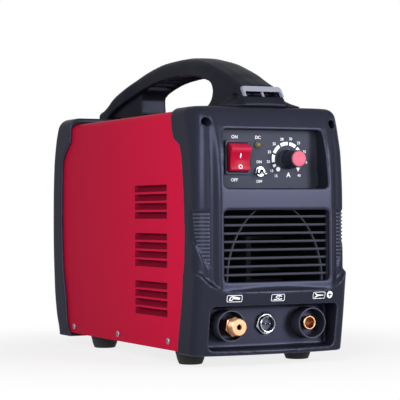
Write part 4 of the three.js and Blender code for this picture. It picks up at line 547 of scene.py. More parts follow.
# Zinc-plated steel: grey metal with a soft spangle.
zinc_plated_steel = finish(
    "zinc_plated_steel", "#8d8f95", 0.4, metallic=1.0, grain=1.2, depth=0.01, mottle=0.12,
)
# Black anodised aluminium of the heat sinks: dark satin, with the lines of the die along its length.
anodised_aluminium = finish(
    "anodised_aluminium", "#2a2b30", 0.5, metallic=0.4, grain=0.5, depth=0.01, streak=(1, 0.05, 1),
    level=0.1,
)
# Glass-epoxy circuit board under solder mask: green with the weave showing through.
glass_epoxy = finish("glass_epoxy", "#1f6a3c", 0.4, grain=0.9, depth=0.01, mottle=0.1)
# Clear epoxy of the indicator lamp, amber while unlit.
amber_epoxy = finish("amber_epoxy", "#77653a", 0.15, grain=1.0, depth=0.002, mottle=0.05, level=0.2)
# Enamelled copper wire: glossy orange-brown turns.
enamelled_copper = finish(
    "enamelled_copper", "#b5622f", 0.3, metallic=0.7, grain=0.6, depth=0.04, mottle=0.1,
)
# Sintered ferrite: dull dark grey.
sintered_ferrite = finish("sintered_ferrite", "#2c2c30", 0.72, grain=0.9, depth=0.03, mottle=0.1)
# Heat-shrunk PVC sleeve of the capacitors: smooth and dark.
shrunk_sleeve = finish("shrunk_sleeve", "#1e2230", 0.28, grain=1.5, depth=0.006, mottle=0.05)
# Extruded polyurethane hose: blue, waxy gloss.
polyurethane_hose = finish("polyurethane_hose", "#2b58a0", 0.35, grain=1.0, depth=0.006, mottle=0.05)
# Screen-printing ink: flat white, slightly uneven where it was squeegeed.
white_ink = finish("white_ink", "#eceef4", 0.6, grain=0.5, depth=0.004, mottle=0.05)

# ---------------------------------------------------------------- front moulding

CORNER_FROM = 5.0  # where the corner starts to lean, outside the middle's edge
STEP_START, STEP_WIDTH, STEP_POINTS = 4.5, 8.0, 8  # the soft step from a pillar in to the middle
SCREW_SIDES = (-SCREW_X, SCREW_X)
MOUTH_LENGTH = 60.0

front_rim = through([
    (PANEL_BOTTOM, 54.5), (60, 43.5), (120, 39.5),
    *beyond(PANEL_TOP, (-49, 44.5), (-33, 50.5), (-29, 61), (-19, 65.5), (0, 67.5)),
])
lean = through([
    (150, 0), *beyond(PANEL_TOP, (-45, LEAN_TOP * 0.16), (-20, LEAN_TOP * 0.58), (0, LEAN_TOP)),
])


def pillar_face(z):
    return NOSE + PILLAR_SETBACK + lean(z) * PILLAR_LEAN


def centre_face(z):
    return NOSE + PLATEAU_SETBACK + lean(z)


def front_section(z, inset=0.0):
    """The front's outline at one height: rim, leaning corner, pillar, soft step and middle."""
    half = SIDE_HALF - inset
    pillar, centre = pillar_face(z) + inset, centre_face(z) + inset
    shoulder = PLATEAU_HALF - max(0, inset)
    points = [(half, NOSE + front_rim(z))]
    for x, y in corner_arc(half, pillar, CORNER - inset, -1):
        outwards = max(0.0, x - shoulder - CORNER_FROM) / (half - shoulder - CORNER_FROM)
        points.append((x, y + CORNER_LEAN * lean(z) * outwards ** 2))
    for k in range(STEP_POINTS + 1):
        t = k / STEP_POINTS
        step = pillar + (centre - pillar) * t * t * (3 - 2 * t)
        points.append((shoulder + STEP_START - STEP_WIDTH * t, step))
    points.append((shoulder - STEP_WIDTH, centre))
    return both_halves([(x, y, z) for x, y in points])


def front_form(inset=0.0):
    high = PANEL_TOP - TOP_ROUND
    rings = [front_section(z, inset) for z in spread(CHIN_EDGE - 5, high, 5)]
    rings += [front_section(high + lift, inset + draw) for draw, lift in quarter(TOP_ROUND - inset)[1:]]
    return loft(rings)


chin_rise = through([(0, 0), (52, 0), (66, CHIN_RISE * 0.36), (HALF, CHIN_RISE)])
rise_share = through([(PANEL_BOTTOM + 1.5, 0), (40, 0.3), (CHIN_FLAT, 1)])


def chin_section(z, rise, inset, back):
    half = HALF - inset
    slope = max(0.0, CHIN_FLAT - z) * CHIN_SLOPE

    def face(x):
        return NOSE + inset + back + slope + CHIN_BOW * (x / HALF) ** 2

    points = [(half, NOSE + front_rim(z))]
    points += corner_arc(half, face(HALF - CORNER * 0.6), CORNER - inset, -1)
    points += [(x, face(x)) for x in (58, 50, 42, 34, 26, 18, 10, 3)]
    return both_halves([(x, y, z + rise * chin_rise(abs(x))) for x, y in points])


def chin_form(inset=0.0):
    """The chin: a rounded lower edge, the sloping face, and a ledge that runs back at 45 degrees."""
    low, edge = PANEL_BOTTOM + inset, CHIN_EDGE - inset
    rings = [
        chin_section(low + lift, 0, inset + 1.5 - out, 0)
        for out, lift in ((0, 0), (0.6, 0.1), (1.1, 0.5), (1.4, 0.9))
    ]
    rings += [chin_section(z, rise_share(z), inset, 0) for z in spread(low + 1.5, edge - 1.5, 5)]
    for lift, rise, draw, back in (
        (-0.8, 1, 0.15, 0), (-0.3, 1, 0.4, 0.1), (0, 1, 0.8, 0.7), (11.5, 0.72, 0.8, 11.5),
    ):
        rings.append(chin_section(edge + lift, rise, inset + draw, back))
    return loft(rings)


def open_back(low, high, front):
    """A plain block that lets a moulding's hollow run out of its open side."""
    half, bend = SIDE_HALF - WALL, TOP_ROUND - WALL
    outline = [(-half, low), (half, low)]
    for side, start in ((1, 0), (-1, 90)):
        outline += arc(side * (half - bend), high - bend, bend, start, start + 90)
    return prism(outline, "y", front, front + MOUTH_LENGTH)


def opening(shape, grow, front, back):
    """A rounded opening that draws in towards the back."""

    def ring(y, draw):
        low, high = shape["low"] + draw - grow, shape["high"] - draw + grow
        half_low, half_high = shape["half_low"] - draw + grow, shape["half_high"] - draw + grow
        r = shape["rounding"] + grow - draw
        corners = (
            (half_low - r, low + r, -90), (half_high - r, high - r, 0),
            (r - half_high, high - r, 90), (r - half_low, low + r, 180),
        )
        return [(x, y, z) for a, b, start in corners for x, z in arc(a, b, r, start, start + 90)]

    return loft([ring(front, 0), ring(back, shape["draft"])])


# The sunk finger insets on both pillars narrow to a point at their lower inner corner.
INSET_LOW, INSET_TOP, INSET_INNER, INSET_DEPTH = 87.0, 140.5, PLATEAU_HALF + 4, 1.3


def inset_edge(t):
    """The inset's outer edge, from its lower corner at t = 0 to its top at t = 1."""
    (x0, z0), (x1, z1), (x2, z2) = (
        (SIDE_HALF - 8, INSET_LOW + 7), (SIDE_HALF + 2, INSET_LOW + 22), (SIDE_HALF + 4, INSET_TOP),
    )
    a, b, c = (1 - t) ** 2, 2 * t * (1 - t), t * t
    return a * x0 + b * x1 + c * x2, a * z0 + b * z1 + c * z2


def finger_inset():
    outline = [(INSET_INNER, INSET_LOW)] + [inset_edge(k / 12) for k in range(13)]
    outline.append((INSET_INNER, INSET_TOP))
    return prism(outline, "y", NOSE, NOSE + 27)


def front_housing():
    outer = joined(front_form(), chin_form())
    inside = open_back(PANEL_BOTTOM + WALL, PANEL_TOP - WALL, NOSE + 36)
    hollow = joined(front_form(WALL), inside, chin_form(WALL))
    wells = joined(
        opening(POCKET, WALL, NOSE - 2, POCKET_BACK + WALL),
        opening(RECESS, WALL, NOSE - 2, PLATE_Y - GAP),
        opening(GRILLE, WALL, NOSE - 2, GRILLE_SEAT),
        *[rod(5.8, NOSE + 12, NOSE + 42, x, SCREW_Z) for x in SCREW_SIDES],
        together(finger_inset(), mirrored(finger_inset())),
    )
    wells = shared(wells, copied(outer))
    body = joined(cut(outer, hollow), wells)
    sunk = cut(finger_inset(), front_form(INSET_DEPTH))
    other = copied(sunk)
    other.data.transform(Matrix.Scale(-1, 4, (1, 0, 0)))
    other.data.flip_normals()
    holes = [
        sunk, other,
        opening(POCKET, 0, NOSE - 3, POCKET_BACK),
        opening(RECESS, 0, NOSE - 3, PLATE_Y + 8),
        opening(GRILLE, 0, NOSE - 3, GRILLE_SEAT + 8),
    ]
    for x in SCREW_SIDES:
        holes += [rod(3.9, NOSE - 1, NOSE + 36, x, SCREW_Z), rod(2, NOSE - 1, NOSE + 60, x, SCREW_Z)]
    for side, radius in ((-1, 7.3), (0, 8.2), (1, 5.8)):
        holes.append(rod(radius, POCKET_BACK - 2, POCKET_BACK + 6, side * SOCKET_PITCH, SOCKET_Z))
    return moulded(cut(body, *holes), 1.05, 90000)


place(front_housing(), "front_moulding", moulded_black_abs, "front_panel", smooth=60)

RIB_SECTION = ((1.6, -0.9), (0.75, -0.85), (0.35, -0.4), (0.35, 0.4), (0.75, 0.85), (1.6, 0.9))
RIB_PITCH, RIB_START = 3.35, INSET_INNER + 1.0


def finger_ribs():
    """Level ribs across the sunk inset and round the pillar's corner, cut off at the inset's edge."""
    forms = []
    edge = [inset_edge(k / 60) for k in range(61)]
    z = INSET_TOP - 3.2
    while z > INSET_LOW + 5:
        reach = min(edge, key=lambda p: abs(p[1] - z))[0] - 1.6 if z > INSET_LOW + 7 else SIDE_HALF - 10
        path = [(RIB_START, pillar_face(z))]
        path += reversed(corner_arc(SIDE_HALF, pillar_face(z), CORNER, -1, 24))
        path += [(SIDE_HALF, NOSE + 24.4), (SIDE_HALF, NOSE + 25.4)]
        path = [p for p in path if p[0] >= RIB_START]
        kept, travelled = [path[0]], 0.0
        limit = RIB_START + (reach - INSET_INNER - 1.0) * 1.25
        for before, after in zip(path, path[1:]):
            travelled += math.dist(before, after)
            if RIB_START + travelled > limit:
                break
            kept.append(after)
        rings = []
        for k, (x, y) in enumerate(kept):
            ahead, back = kept[min(k + 1, len(kept) - 1)], kept[max(k - 1, 0)]
            along = Vector((ahead[0] - back[0], ahead[1] - back[1])).normalized()
            rings.append([(x - along.y * deep, y + along.x * deep, z + up) for deep, up in RIB_SECTION])
        forms.append(loft(rings))
        z -= RIB_PITCH
    return together(*forms)


ribs = finger_ribs()
place(together(ribs, mirrored(ribs)), "finger_ribs", moulded_black_abs)

# ---------------------------------------------------------------- front grille

BAR_COUNT, BAR_PITCH = 8, 7.4
ARCH_SECTION = (
    (-0.8, 0.9), (-0.8, 0.35), (-0.4, 0.05), (0.4, 0.05), (0.8, 0.35), (0.8, 0.9), (0.8, 3.0), (-0.8, 3.0),
)


def grille():
    """A border, level bars, and two arches that spread from near the top's middle downwards."""
    front = GRILLE_SEAT + GAP
    low, high, half = GRILLE["low"], GRILLE["high"], GRILLE["half_low"]
    middle, tall = (low + high) / 2, high - low
    border = cut(
        plate(0, middle, 116, tall + 8, 6, front, front + 3.4),
        plate(0, middle, 108, tall, 3, front - 1, front + 5),
    )
    forms = []
    for i in range(BAR_COUNT):
        z = high - 6.2 - i * BAR_PITCH
        forms.append(prism(rounded_rect(front + 1.6, z, 3.2, 2.4, 0.8, 4), "x", -55, 55))
    start, reach = 0.29 * half, 0.9 * half
    for side in (-1, 1):
        rings = []
        for k in range(33):
            t = k / 32
            x = start + (reach - start) * math.sin(t * math.pi / 2) ** 0.95
            z = high + 1 - (tall + 2) * t ** 1.35
            rings.append([(side * (x + across), front + deep, z) for across, deep in ARCH_SECTION])
        forms.append(loft(rings))
    return border, together(*forms)


border, bars = grille()
place(eased(border, 0.4), "grille_border", moulded_black_abs)
place(bars, "grille_bars", grip_black_abs, "front_grille")

# ---------------------------------------------------------------- rear moulding

rear_rim = through([
    (REAR_BOTTOM, 50), (22, 41), (50, 36.5), (80, 29.5), (128, 26.5),
    *beyond(REAR_TOP, (-49, 29.5), (-34, 41), (-24, 53), (0, 54)),
])
rear_bulge = through([
    (REAR_BOTTOM, 11), (32, 2.5), (60, -3), (115, -6), (150, -5.5),
    *beyond(REAR_TOP, (-50, -2.5), (-25, 3.5), (0, 13)),
])


def rear_section(z, inset):
    half = HALF - inset
    face = BACK - rear_bulge(z) - inset
    points = [(half, BACK - rear_rim(z))] + corner_arc(half, face, CORNER - inset, 1)
    return both_halves([(x, y, z) for x, y in points])


def rear_form(inset=0.0):
    high = REAR_TOP - REAR_ROUND
    rings = [rear_section(z, inset) for z in spread(REAR_BOTTOM + inset, high, 5)]
    rings += [rear_section(high + lift, inset + draw) for draw, lift in quarter(REAR_ROUND - inset)[1:]]
    return loft(rings)


def rear_housing():
    outer = solid(rear_form())
    copy = copied(outer)
    mouth = open_back(REAR_BOTTOM + WALL, COVER_TOP + GAP, BACK - 24 - MOUTH_LENGTH)
    over_cover = block(-HALF, HALF, COVER_BACK - 4, BACK, 0, COVER_TOP + GAP)
    deep = shared(rear_form(WALL + 0.2), over_cover)

    def shelf(grow, front, back):
        return plate(0, FITTING_Z, 120 + 2 * grow, 32 + 2 * grow, 5 + grow, front, back)

    corner = 52.5
    bosses = [
        rod(5, FAN_FACE, BACK, across * corner, FAN_Z + up * corner) for across in (-1, 1) for up in (-1, 1)
    ]
    pads = shared(joined(shelf(WALL, REAR_SEAT - 3, BACK), *bosses), copy)
    body = joined(cut(outer, mouth, deep), pads)
    holes = [shelf(0, REAR_SEAT, BACK + 20), rod(58, FAN_FACE - 6, BACK + 20, 0, FAN_Z, 96)]
    for x, radius in ((FITTING_X, 8.3), (-FITTING_X, 6.3), (0, 3.3)):
        holes.append(rod(radius, BACK - 20, BACK + 20, x, FITTING_Z))
    return moulded(cut(body, *holes))


place(rear_housing(), "rear_moulding", moulded_black_abs, "rear_panel", smooth=60)

# ---------------------------------------------------------------- sheet cover

LOUVRE_FRONT, LOUVRE_LENGTH, LOUVRE_HEIGHT, LOUVRE_DEPTH = -103.6, 72.8, 6.3, 3.8
LOUVRE_BACK = LOUVRE_FRONT + LOUVRE_LENGTH
LOUVRE_PITCH, LOUVRE_ROWS = 8.4, 4
LOUVRE_TOPS = [
    group - row * LOUVRE_PITCH for group in (164.8, 119.6, 74.2) for row in range(LOUVRE_ROWS)
]


def cover_outline(half, top, low, bend):
    points = [(-half, low)]
    for side, start in ((-1, 180), (1, 90)):
        points += arc(side * (half - bend), top - bend, bend, start, start - 90, 8)
    points.append((half, low))
    return points


def louvre(top):
    """One pressed louvre: a tongue that leans in towards its top edge, closed by curved ends."""
    low, crest = top - LOUVRE_HEIGHT, top + 0.3
    rings = []
    for k in range(25):
        y = LOUVRE_FRONT + (LOUVRE_BACK - LOUVRE_FRONT) * k / 24
        end = min(y - LOUVRE_FRONT, LOUVRE_BACK - y)
        press = LOUVRE_DEPTH * math.sin(min(1.0, end / 4.5) * math.pi / 2) ** 0.8
        outside, inside = [], []
        for t in (0, 0.25, 0.5, 0.75, 1):
            x = -COVER_HALF + press * math.sin(t * math.pi / 2) ** 0.9
            z = low - 0.4 + (crest - low + 0.4) * t
            outside.append((x, y, z))
            inside.append((x + SHEET * 0.85, y, z - 0.1))
        rings.append(outside + inside[::-1])
    return loft(rings)


def cover():
    """The bent sheet, open where the louvres are, and the tongues pressed out of it."""
    low = BASE_Z - 0.6
    outside = cover_outline(COVER_HALF, COVER_TOP, low, COVER_BEND)
    inside = cover_outline(COVER_HALF - SHEET, COVER_TOP - SHEET, low - 5, COVER_BEND - SHEET)
    front_relief = [
        (NOSE, PANEL_TOP - 58), (COVER_FRONT, PANEL_TOP - 58), (COVER_FRONT + 10, PANEL_TOP - 30),
        (COVER_FRONT + 10, PANEL_TOP + 5), (NOSE, PANEL_TOP + 5),
    ]
    rear_relief = [
        (COVER_BACK + 1, -1), (COVER_BACK - 9, -1), (COVER_BACK - 9, REAR_BOTTOM + 35),
        (COVER_BACK, REAR_BOTTOM + 55), (COVER_BACK, REAR_TOP - 50), (COVER_BACK - 8, REAR_TOP - 33),
        (COVER_BACK - 8, REAR_TOP), (COVER_BACK + 1, REAR_TOP),
    ]
    windows = [
        block(x - 3, x + 3, LOUVRE_FRONT, LOUVRE_BACK, top - LOUVRE_HEIGHT, top)
        for top in LOUVRE_TOPS for x in (-COVER_HALF, COVER_HALF)
    ]
    sheet = cut(
        prism(outside, "y", COVER_FRONT, COVER_BACK),
        prism(inside, "y", COVER_FRONT - 5, COVER_BACK + 5),
        prism(front_relief, "x", -HALF, HALF),
        prism(rear_relief, "x", -HALF, HALF),
        together(*windows),
    )
    tongues = [louvre(top) for top in LOUVRE_TOPS]
    return sheet, together(*tongues, *[mirrored(tongue) for tongue in tongues])


sheet, pressed = cover()
place(sheet, "cover_sheet", powder_coated_red_steel, "cover_shell", smooth=30)
# The tongues take the darker red, which is painted shade down in the louvres.
place(pressed, "cover_louvres", painted_shade_red_steel, smooth=40)

# ---------------------------------------------------------------- feet

FOOT_TOP = BASE_Z - GAP
FOOT_PROFILE = [
    (9.6, 0), (10.6, 0.3), (11, 1), (12.4, 4.5), (13.6, FOOT_TOP - 3.6), (14, FOOT_TOP - 2.6), (14, FOOT_TOP),
]
FEET = {
    "front_left_foot": (-56, -114), "front_right_foot": (56, -114),
    "rear_left_foot": (-56, 90), "rear_right_foot": (56, 90),
}
for name, (x, y) in FEET.items():
    place(full(FOOT_PROFILE, x, y, 48, axis="z"), name + "_rubber", moulded_rubber, name)

# ---------------------------------------------------------------- carrying handle

HANDLE_APEX, FOOT_HALF, GRIP_HALF = 290.0, 44.0, 18.0
HANDLE_FRONT, HANDLE_BACK, HANDLE_SEAT = NOSE + 25, BACK - 9, COVER_TOP + GAP
HANDLE_RISE = HANDLE_APEX - HANDLE_SEAT
GAP_FRONT, GAP_BACK, GAP_FLOOR, GAP_ROOF = -92.0, 88.0, 239.0, 272.8
HOOD_KNEE, SKIRT_KNEE, WEB_INSET, LOOP_HALF = 13.6, 5.0, 5.0, 21.5
SLOT_HALF, SLOT_LOW, SLOT_HEIGHT, TRIM_HALF = 18.4, 244.4, 4.6, 20.2
TRIM_Y, TRIM_LEAN, TRIM_DEPTH, TRIM_TALL = HANDLE_FRONT + 3, 0.74, 4.0, 9.6
# Where the grip's loop closes in front of the finger gap: (y, the lower edge there).
LOOP_EDGE = (
    (-137.0, 252), (-136.5, 248.5), (-134.5, 245), (-131, 242), (-126, 239.5), (-119, 236), (-90, 236),
)
CELL_PITCH, CELL_WALL, CELL_DEPTH = 16, 1.2, 7.5

handle_half = through([
    (HANDLE_FRONT, LOOP_HALF),
    *beyond(GAP_FRONT, (-5, LOOP_HALF), (25, LOOP_HALF - 0.8), (60, GRIP_HALF + 0.8)),
    *beyond(GAP_BACK, (-75, GRIP_HALF), (-35, GRIP_HALF), (0, GRIP_HALF + 1), (30, GRIP_HALF + 5)),
    (HANDLE_BACK, GRIP_HALF + 8),
])
# The top of the arch over the housing, as a share of the rise at its apex.
handle_top = through([
    *beyond(HANDLE_FRONT, (0, 0.06), (3, 0.17), (7.5, 0.28), (12, 0.35), (20, 0.415), (32, 0.5), (46, 0.61)),
    *beyond(HANDLE_FRONT, (68, 0.745), (90, 0.865), (121, 0.965)),
    (-6, 1), (28, 0.99), (54, 0.945), (80, 0.868), (116, 0.69), (140, 0.555), (HANDLE_BACK, 0.28),
])
# The foot spreads out under the hood in front and into a skirt behind the finger gap.
FULL_SPREAD = FOOT_HALF - GRIP_HALF
foot_spread = through([
    *beyond(HANDLE_FRONT, (0, FULL_SPREAD - 3), (9, FULL_SPREAD), (20, FULL_SPREAD - 4)),
    *beyond(HANDLE_FRONT, (36, FULL_SPREAD / 2), (54, 4)), (GAP_FRONT + 20, 0),
    *beyond(GAP_BACK, (-30, 0), (0, 9), (25, 16)), (HANDLE_BACK, 12),
])
foot_rise = through([(HANDLE_FRONT + 20, HOOD_KNEE), (GAP_FRONT, SKIRT_KNEE)])
web_depth = through([
    (GAP_FRONT - 30, 3.0), (GAP_FRONT + 5, 0), (GAP_BACK - 30, 0), (GAP_BACK, WEB_INSET),
])
# The rounding from the side to the top, in shares of its bend: (in from the side, down from the top).
SHOULDER = ((0.03, 0.8), (0.1, 0.6), (0.2, 0.38), (0.35, 0.22))


def roof(y):
    return HANDLE_SEAT + HANDLE_RISE * handle_top(y)


def handle_section(y):
    """The handle across one place: spread foot, hollow, set-back web, and the grip over it."""
    half, top = handle_half(y), roof(y)
    web = half - web_depth(y)
    bend = min(8, (top - HANDLE_SEAT) / 3)
    shoulder = top - bend
    brow = min(max(top - 17, HANDLE_SEAT + foot_rise(y) + 1.4), shoulder - 0.5)
    knee = min(HANDLE_SEAT + foot_rise(y), brow - 1.2)
    toe = min(HANDLE_SEAT + 1.5, knee - 1.2)
    foot = half + foot_spread(y)
    points = [
        (foot, toe - 10), (foot, toe), (web + (foot - web) * 0.42, toe + (knee - toe) * 0.52),
        (web, knee), (web, brow - 0.6), (half, brow), (half, shoulder),
    ]
    points += [(half - bend * across, top - bend * down) for across, down in SHOULDER]
    points += [(half - bend * 0.65, top + 0.1), (half - bend * 1.1, top + 0.6), (half * 0.3, top + 1.6)]
    return both_halves([(x, y, z) for x, z in points])


def grip_loop():
    """The grip's sides stand proud of the hood and curl round the front end of the finger gap."""
    rings = []
    for y, low in LOOP_EDGE:
        top = roof(y)
        side = ((1.4, low), (0, low + 1.4), (0, top - 5), (1.6, top - 3))
        rings.append(both_halves([(LOOP_HALF - draw, y, z) for draw, z in side]))
    return loft(rings)


def sweep(points, steps=12):
    """A smooth curve from the first point to the last, pulled by those between, without its end."""
    out = []
    for k in range(steps):
        layer = [Vector(p) for p in points]
        while len(layer) > 1:
            layer = [a.lerp(b, k / steps) for a, b in zip(layer, layer[1:])]
        out.append(tuple(layer[0]))
    return out


def gap_outline():
    """The finger gap seen from the side, as (y, z)."""
    front, back, low, high = GAP_FRONT, GAP_BACK, GAP_FLOOR, GAP_ROOF
    middle = (front + back) / 2

    def up(share):
        return low + share * (high - low)

    points = sweep([(front + 18, low), (front + 2, up(0.02)), (front - 8, up(0.5)), (front + 8, up(0.714))])
    points += sweep([(front + 8, up(0.714)), (front + 30, up(0.9)), (middle - 35, high), (middle, high)])
    points += sweep([(middle, high), (middle + 40, high), (back - 23, up(0.9)), (back - 8, up(0.72))])
    points += sweep([(back - 8, up(0.72)), (back + 1, up(0.6)), (back, up(0.45))], 6)
    points += sweep([(back - 1, up(0.12)), (back - 2, low), (back - 5, low)], 6)
    points.append((back - 5, low))
    return points


def underside_cells():
    """The grip is hollow from below, with a wall across it every few fingers' width."""
    lift = through([p for p in gap_outline() if p[1] > GAP_ROOF - 9.5])
    cells = []
    for y in spread(-68, 76, CELL_PITCH)[:-1]:
        places = spread(y + CELL_WALL, y + CELL_PITCH - CELL_WALL, 3)
        outline = [(k, lift(k) - 1) for k in places] + [(k, lift(k) + CELL_DEPTH) for k in places[::-1]]
        half = min(handle_half(y), GRIP_HALF) - 4.2
        cells.append(prism(outline, "x", -half, half))
    return cells


def trim_slab(half, low, high, front, back):
    """A block whose front and back lean with the slope of the hood."""
    corners = (front, low), (back, low), (back, high), (front, high)
    side = [(TRIM_Y + (z - SLOT_LOW) * TRIM_LEAN + y, z) for y, z in corners]
    return prism(side, "x", -half, half)


def handle():
    """The arch with the finger gap, cut to sit on the housing and round the slot's trim."""
    arch = loft([handle_section(y) for y in spread(HANDLE_FRONT, HANDLE_BACK, 4)])
    behind_rim = NOSE + front_rim(PANEL_TOP) + GAP
    over_front = joined(
        front_form(-GAP), block(-HALF, HALF, NOSE + 45, behind_rim, 0, PANEL_TOP + GAP),
    )
    return moulded(cut(
        joined(arch, grip_loop()),
        block(-HALF, HALF, NOSE, BACK + 20, 0, HANDLE_SEAT),
        block(-HALF, HALF, BACK - rear_rim(REAR_TOP) - GAP, BACK + 20, 0, REAR_TOP + GAP),
        over_front,
        prism(gap_outline(), "x", -HALF, HALF),
        trim_slab(TRIM_HALF + GAP, SLOT_LOW - 0.6, SLOT_LOW + TRIM_TALL + GAP, -6, TRIM_DEPTH + GAP),
        trim_slab(SLOT_HALF - 3.5, SLOT_LOW + 0.4, SLOT_LOW + 4.6, 0, 13),
        *underside_cells(),
    ))


place(handle(), "handle_moulding", grip_black_abs, "handle", smooth=60)


def slot_trim():
    """A thin trim round the slot: its face lies in the slope of the hood, a shade proud of it."""
    front, back = TRIM_Y - 8, TRIM_Y + 20
    outer = trim_slab(TRIM_HALF, SLOT_LOW - 0.3, SLOT_LOW + TRIM_TALL, 0, TRIM_DEPTH)
    outline = plate(0, SLOT_LOW + TRIM_TALL / 2 - 3, 2 * TRIM_HALF, TRIM_TALL + 6, 3.2, front, back)
    mouth = plate(0, SLOT_LOW + SLOT_HEIGHT / 2 - 3, 2 * SLOT_HALF, SLOT_HEIGHT + 6, 1.5, front, back)
    divider = trim_slab(0.65, SLOT_LOW - 0.3, SLOT_LOW + SLOT_HEIGHT + 1, 1.2, TRIM_DEPTH)
    return joined(cut(shared(outer, outline), mouth), divider)


place(eased(slot_trim(), 0.35), "slot_trim", silver_grey_abs, "handle_trim")

# ---------------------------------------------------------------- controls

ROCKER_X, ROCKER_Z, ROCKER_WIDTH, ROCKER_REACH, ROCKER_TILT = -30.7, 188.2, 19.8, 13.2, 10.0
TOGGLE_X, TOGGLE_Z, TOGGLE_LENGTH, TOGGLE_TILT = -8.1, 175.7, 13.0, 12.0
LED_X, LED_Z, LED_RADIUS = -9.2, 200.0, 2.5
KNOB_X, KNOB_Z, KNOB_LENGTH = 21.0, 187.0, 21.0
SEAT = PLATE_Y - GAP
ROCKER_FACE = SEAT - 2


def hex_nut(x, z, across_flats, hole, low, high, turn=0.0):
    """A hexagon nut with the corners chamfered on the side that faces the front."""
    reach = across_flats / math.sqrt(3) + 0.1
    chamfer = full([(across_flats / 2 * 0.97, low), (reach, low + 0.9), (reach, high)], x, z)
    blank = shared(prism(hexagon(x, z, across_flats, turn), "y", low, high), chamfer)
    return cut(blank, rod(hole, low - 1, high + 1, x, z))


def rocker_box(half_width, half_height, front, back):
    return block(
        ROCKER_X - half_width, ROCKER_X + half_width, front, back,
        ROCKER_Z - half_height, ROCKER_Z + half_height,
    )


def rocker_end(start, end):
    """An arc about the pivot, as (y, z); 0 degrees points up."""
    turns = [math.radians(start + (end - start) * k / 10) for k in range(11)]
    return [(-ROCKER_REACH * math.sin(t), ROCKER_REACH * math.cos(t)) for t in turns]


# The switch: a frame with a flange, and a rocker whose face is a little hollow between its ends.
flange = plate(ROCKER_X, ROCKER_Z, 25.5, 31, 1.5, ROCKER_FACE, SEAT)
frame_body = joined(flange, rocker_box(11.4, 14.2, PLATE_Y - 1, PLATE_Y + 22))
well = rocker_box(10.2, 13.5, ROCKER_FACE - 1, PLATE_Y + 9.5)
place(eased(cut(frame_body, well), 0.35), "switch_frame", moulded_black_abs, "rocker_frame")
rocker_turn = seated(ROCKER_X, PLATE_Y, ROCKER_Z, ROCKER_TILT)
rocker_side = rocker_end(-25, 46) + [(-7.5, 5.0), (-6.6, 0.0), (-7.5, -5.0)] + rocker_end(134, 205)
button = eased(prism(rocker_side, "x", -ROCKER_WIDTH / 2, ROCKER_WIDTH / 2), 0.7, 25, 3)
button.data.transform(rocker_turn)
place(button, "switch_button", red_polycarbonate, "rocker_button", body="power_rocker", smooth=40)

# The marks on the switch ride on its button.
bar_mark = plate(0, 0, 1.0, 4.2, 0.4, -INK, 0.15, 3)
ring_mark = turned([(1.3, 0.15), (1.3, -INK), (2.0, -INK), (2.0, 0.15)], sides=32)
marks = solid(about(bar_mark, seated(0, -7.1, 2.8, 10.2)), about(ring_mark, seated(0, -8.5, -7.1, -25.6)))
marks.data.transform(rocker_turn)
place(marks, "switch_marks", white_ink, body="power_rocker")

# Indicator lamp: a domed lens in its push-in holder.
holder = turned(
    behind(SEAT, (LED_RADIUS + GAP, -1.4), (LED_RADIUS + 0.6, -1.7), (3.3, -1.7), (3.8, -1.2), (3.9, 0))
    + [(3.1, SEAT), (3.1, PLATE_BACK + 4), (LED_RADIUS + GAP, PLATE_BACK + 4)],
    LED_X, LED_Z, 40,
)
DOME_TURNS = (0.01, 0.3, 0.6, 0.9, 1.2, 1.45)
dome = [(LED_RADIUS * math.sin(t), SEAT - 0.9 - 2.3 * math.cos(t)) for t in DOME_TURNS]
stem = [(LED_RADIUS, SEAT - 0.6), (LED_RADIUS, PLATE_BACK + 3), (AXIS, PLATE_BACK + 3)]
place(holder, "lamp_holder", moulded_black_abs, "led_holder")
place(turned(dome + stem, LED_X, LED_Z, 40), "lamp_lens", amber_epoxy, "led_lens")

# Gas test toggle: threaded bush, nut and a lever that thickens towards its rounded tip.
bush = turned(
    [(2.3, PLATE_Y - 5), *grooves(PLATE_Y - 5, 0.6, 9, (3.2, 0), (2.95, 0.3)), (3.0, PLATE_Y + 0.4)]
    + behind(PLATE_BACK, (3.0, 2), (2.3, 2)),
    TOGGLE_X, TOGGLE_Z, 48,
)
toggle_back = PLATE_BACK + GAP
body = block(TOGGLE_X - 4, TOGGLE_X + 4, toggle_back, toggle_back + 9, TOGGLE_Z - 6.5, TOGGLE_Z + 6.5)
place(together(bush, body), "toggle_bush", nickel_plate, "toggle_body")
ring_nut = hex_nut(TOGGLE_X, TOGGLE_Z, 8.8, 3.5, SEAT - 2.2, SEAT, 0.26)
place(ring_nut, "toggle_ring_nut", nickel_plate, "toggle_nut")
tip = [(1.6 * math.cos(t), -TOGGLE_LENGTH + 1.4 - 1.4 * math.sin(t)) for t in (0, 0.4, 0.8, 1.2)]
lever = solid(turned([
    (AXIS, 2.6), (1, 2.6), (1.1, 1.6), (1.7, 1.1), (2, 0.5), (2, -0.4), (1.6, -1.3), (0.95, -2), (1.3, -11),
    *tip, (AXIS, -TOGGLE_LENGTH),
], sides=32))
lever.data.transform(seated(TOGGLE_X, PLATE_Y - 1, TOGGLE_Z, TOGGLE_TILT))
place(lever, "toggle_stick", nickel_plate, "toggle_lever", body="gas_toggle", smooth=50)

# Current knob: fluted grip over a plain skirt, with an inlaid salmon cap.
KNOB_BACK = PLATE_Y - 1.2
KNOB_FACE = KNOB_BACK - KNOB_LENGTH
FLUTES, FLUTE_DEPTH = 20, 0.035


def fluted(turn, y):
    grip = KNOB_FACE + 1.2 < y < KNOB_BACK - 4
    return -FLUTE_DEPTH * (0.5 + 0.5 * math.cos(FLUTES * turn)) ** 2 if grip else 0.0


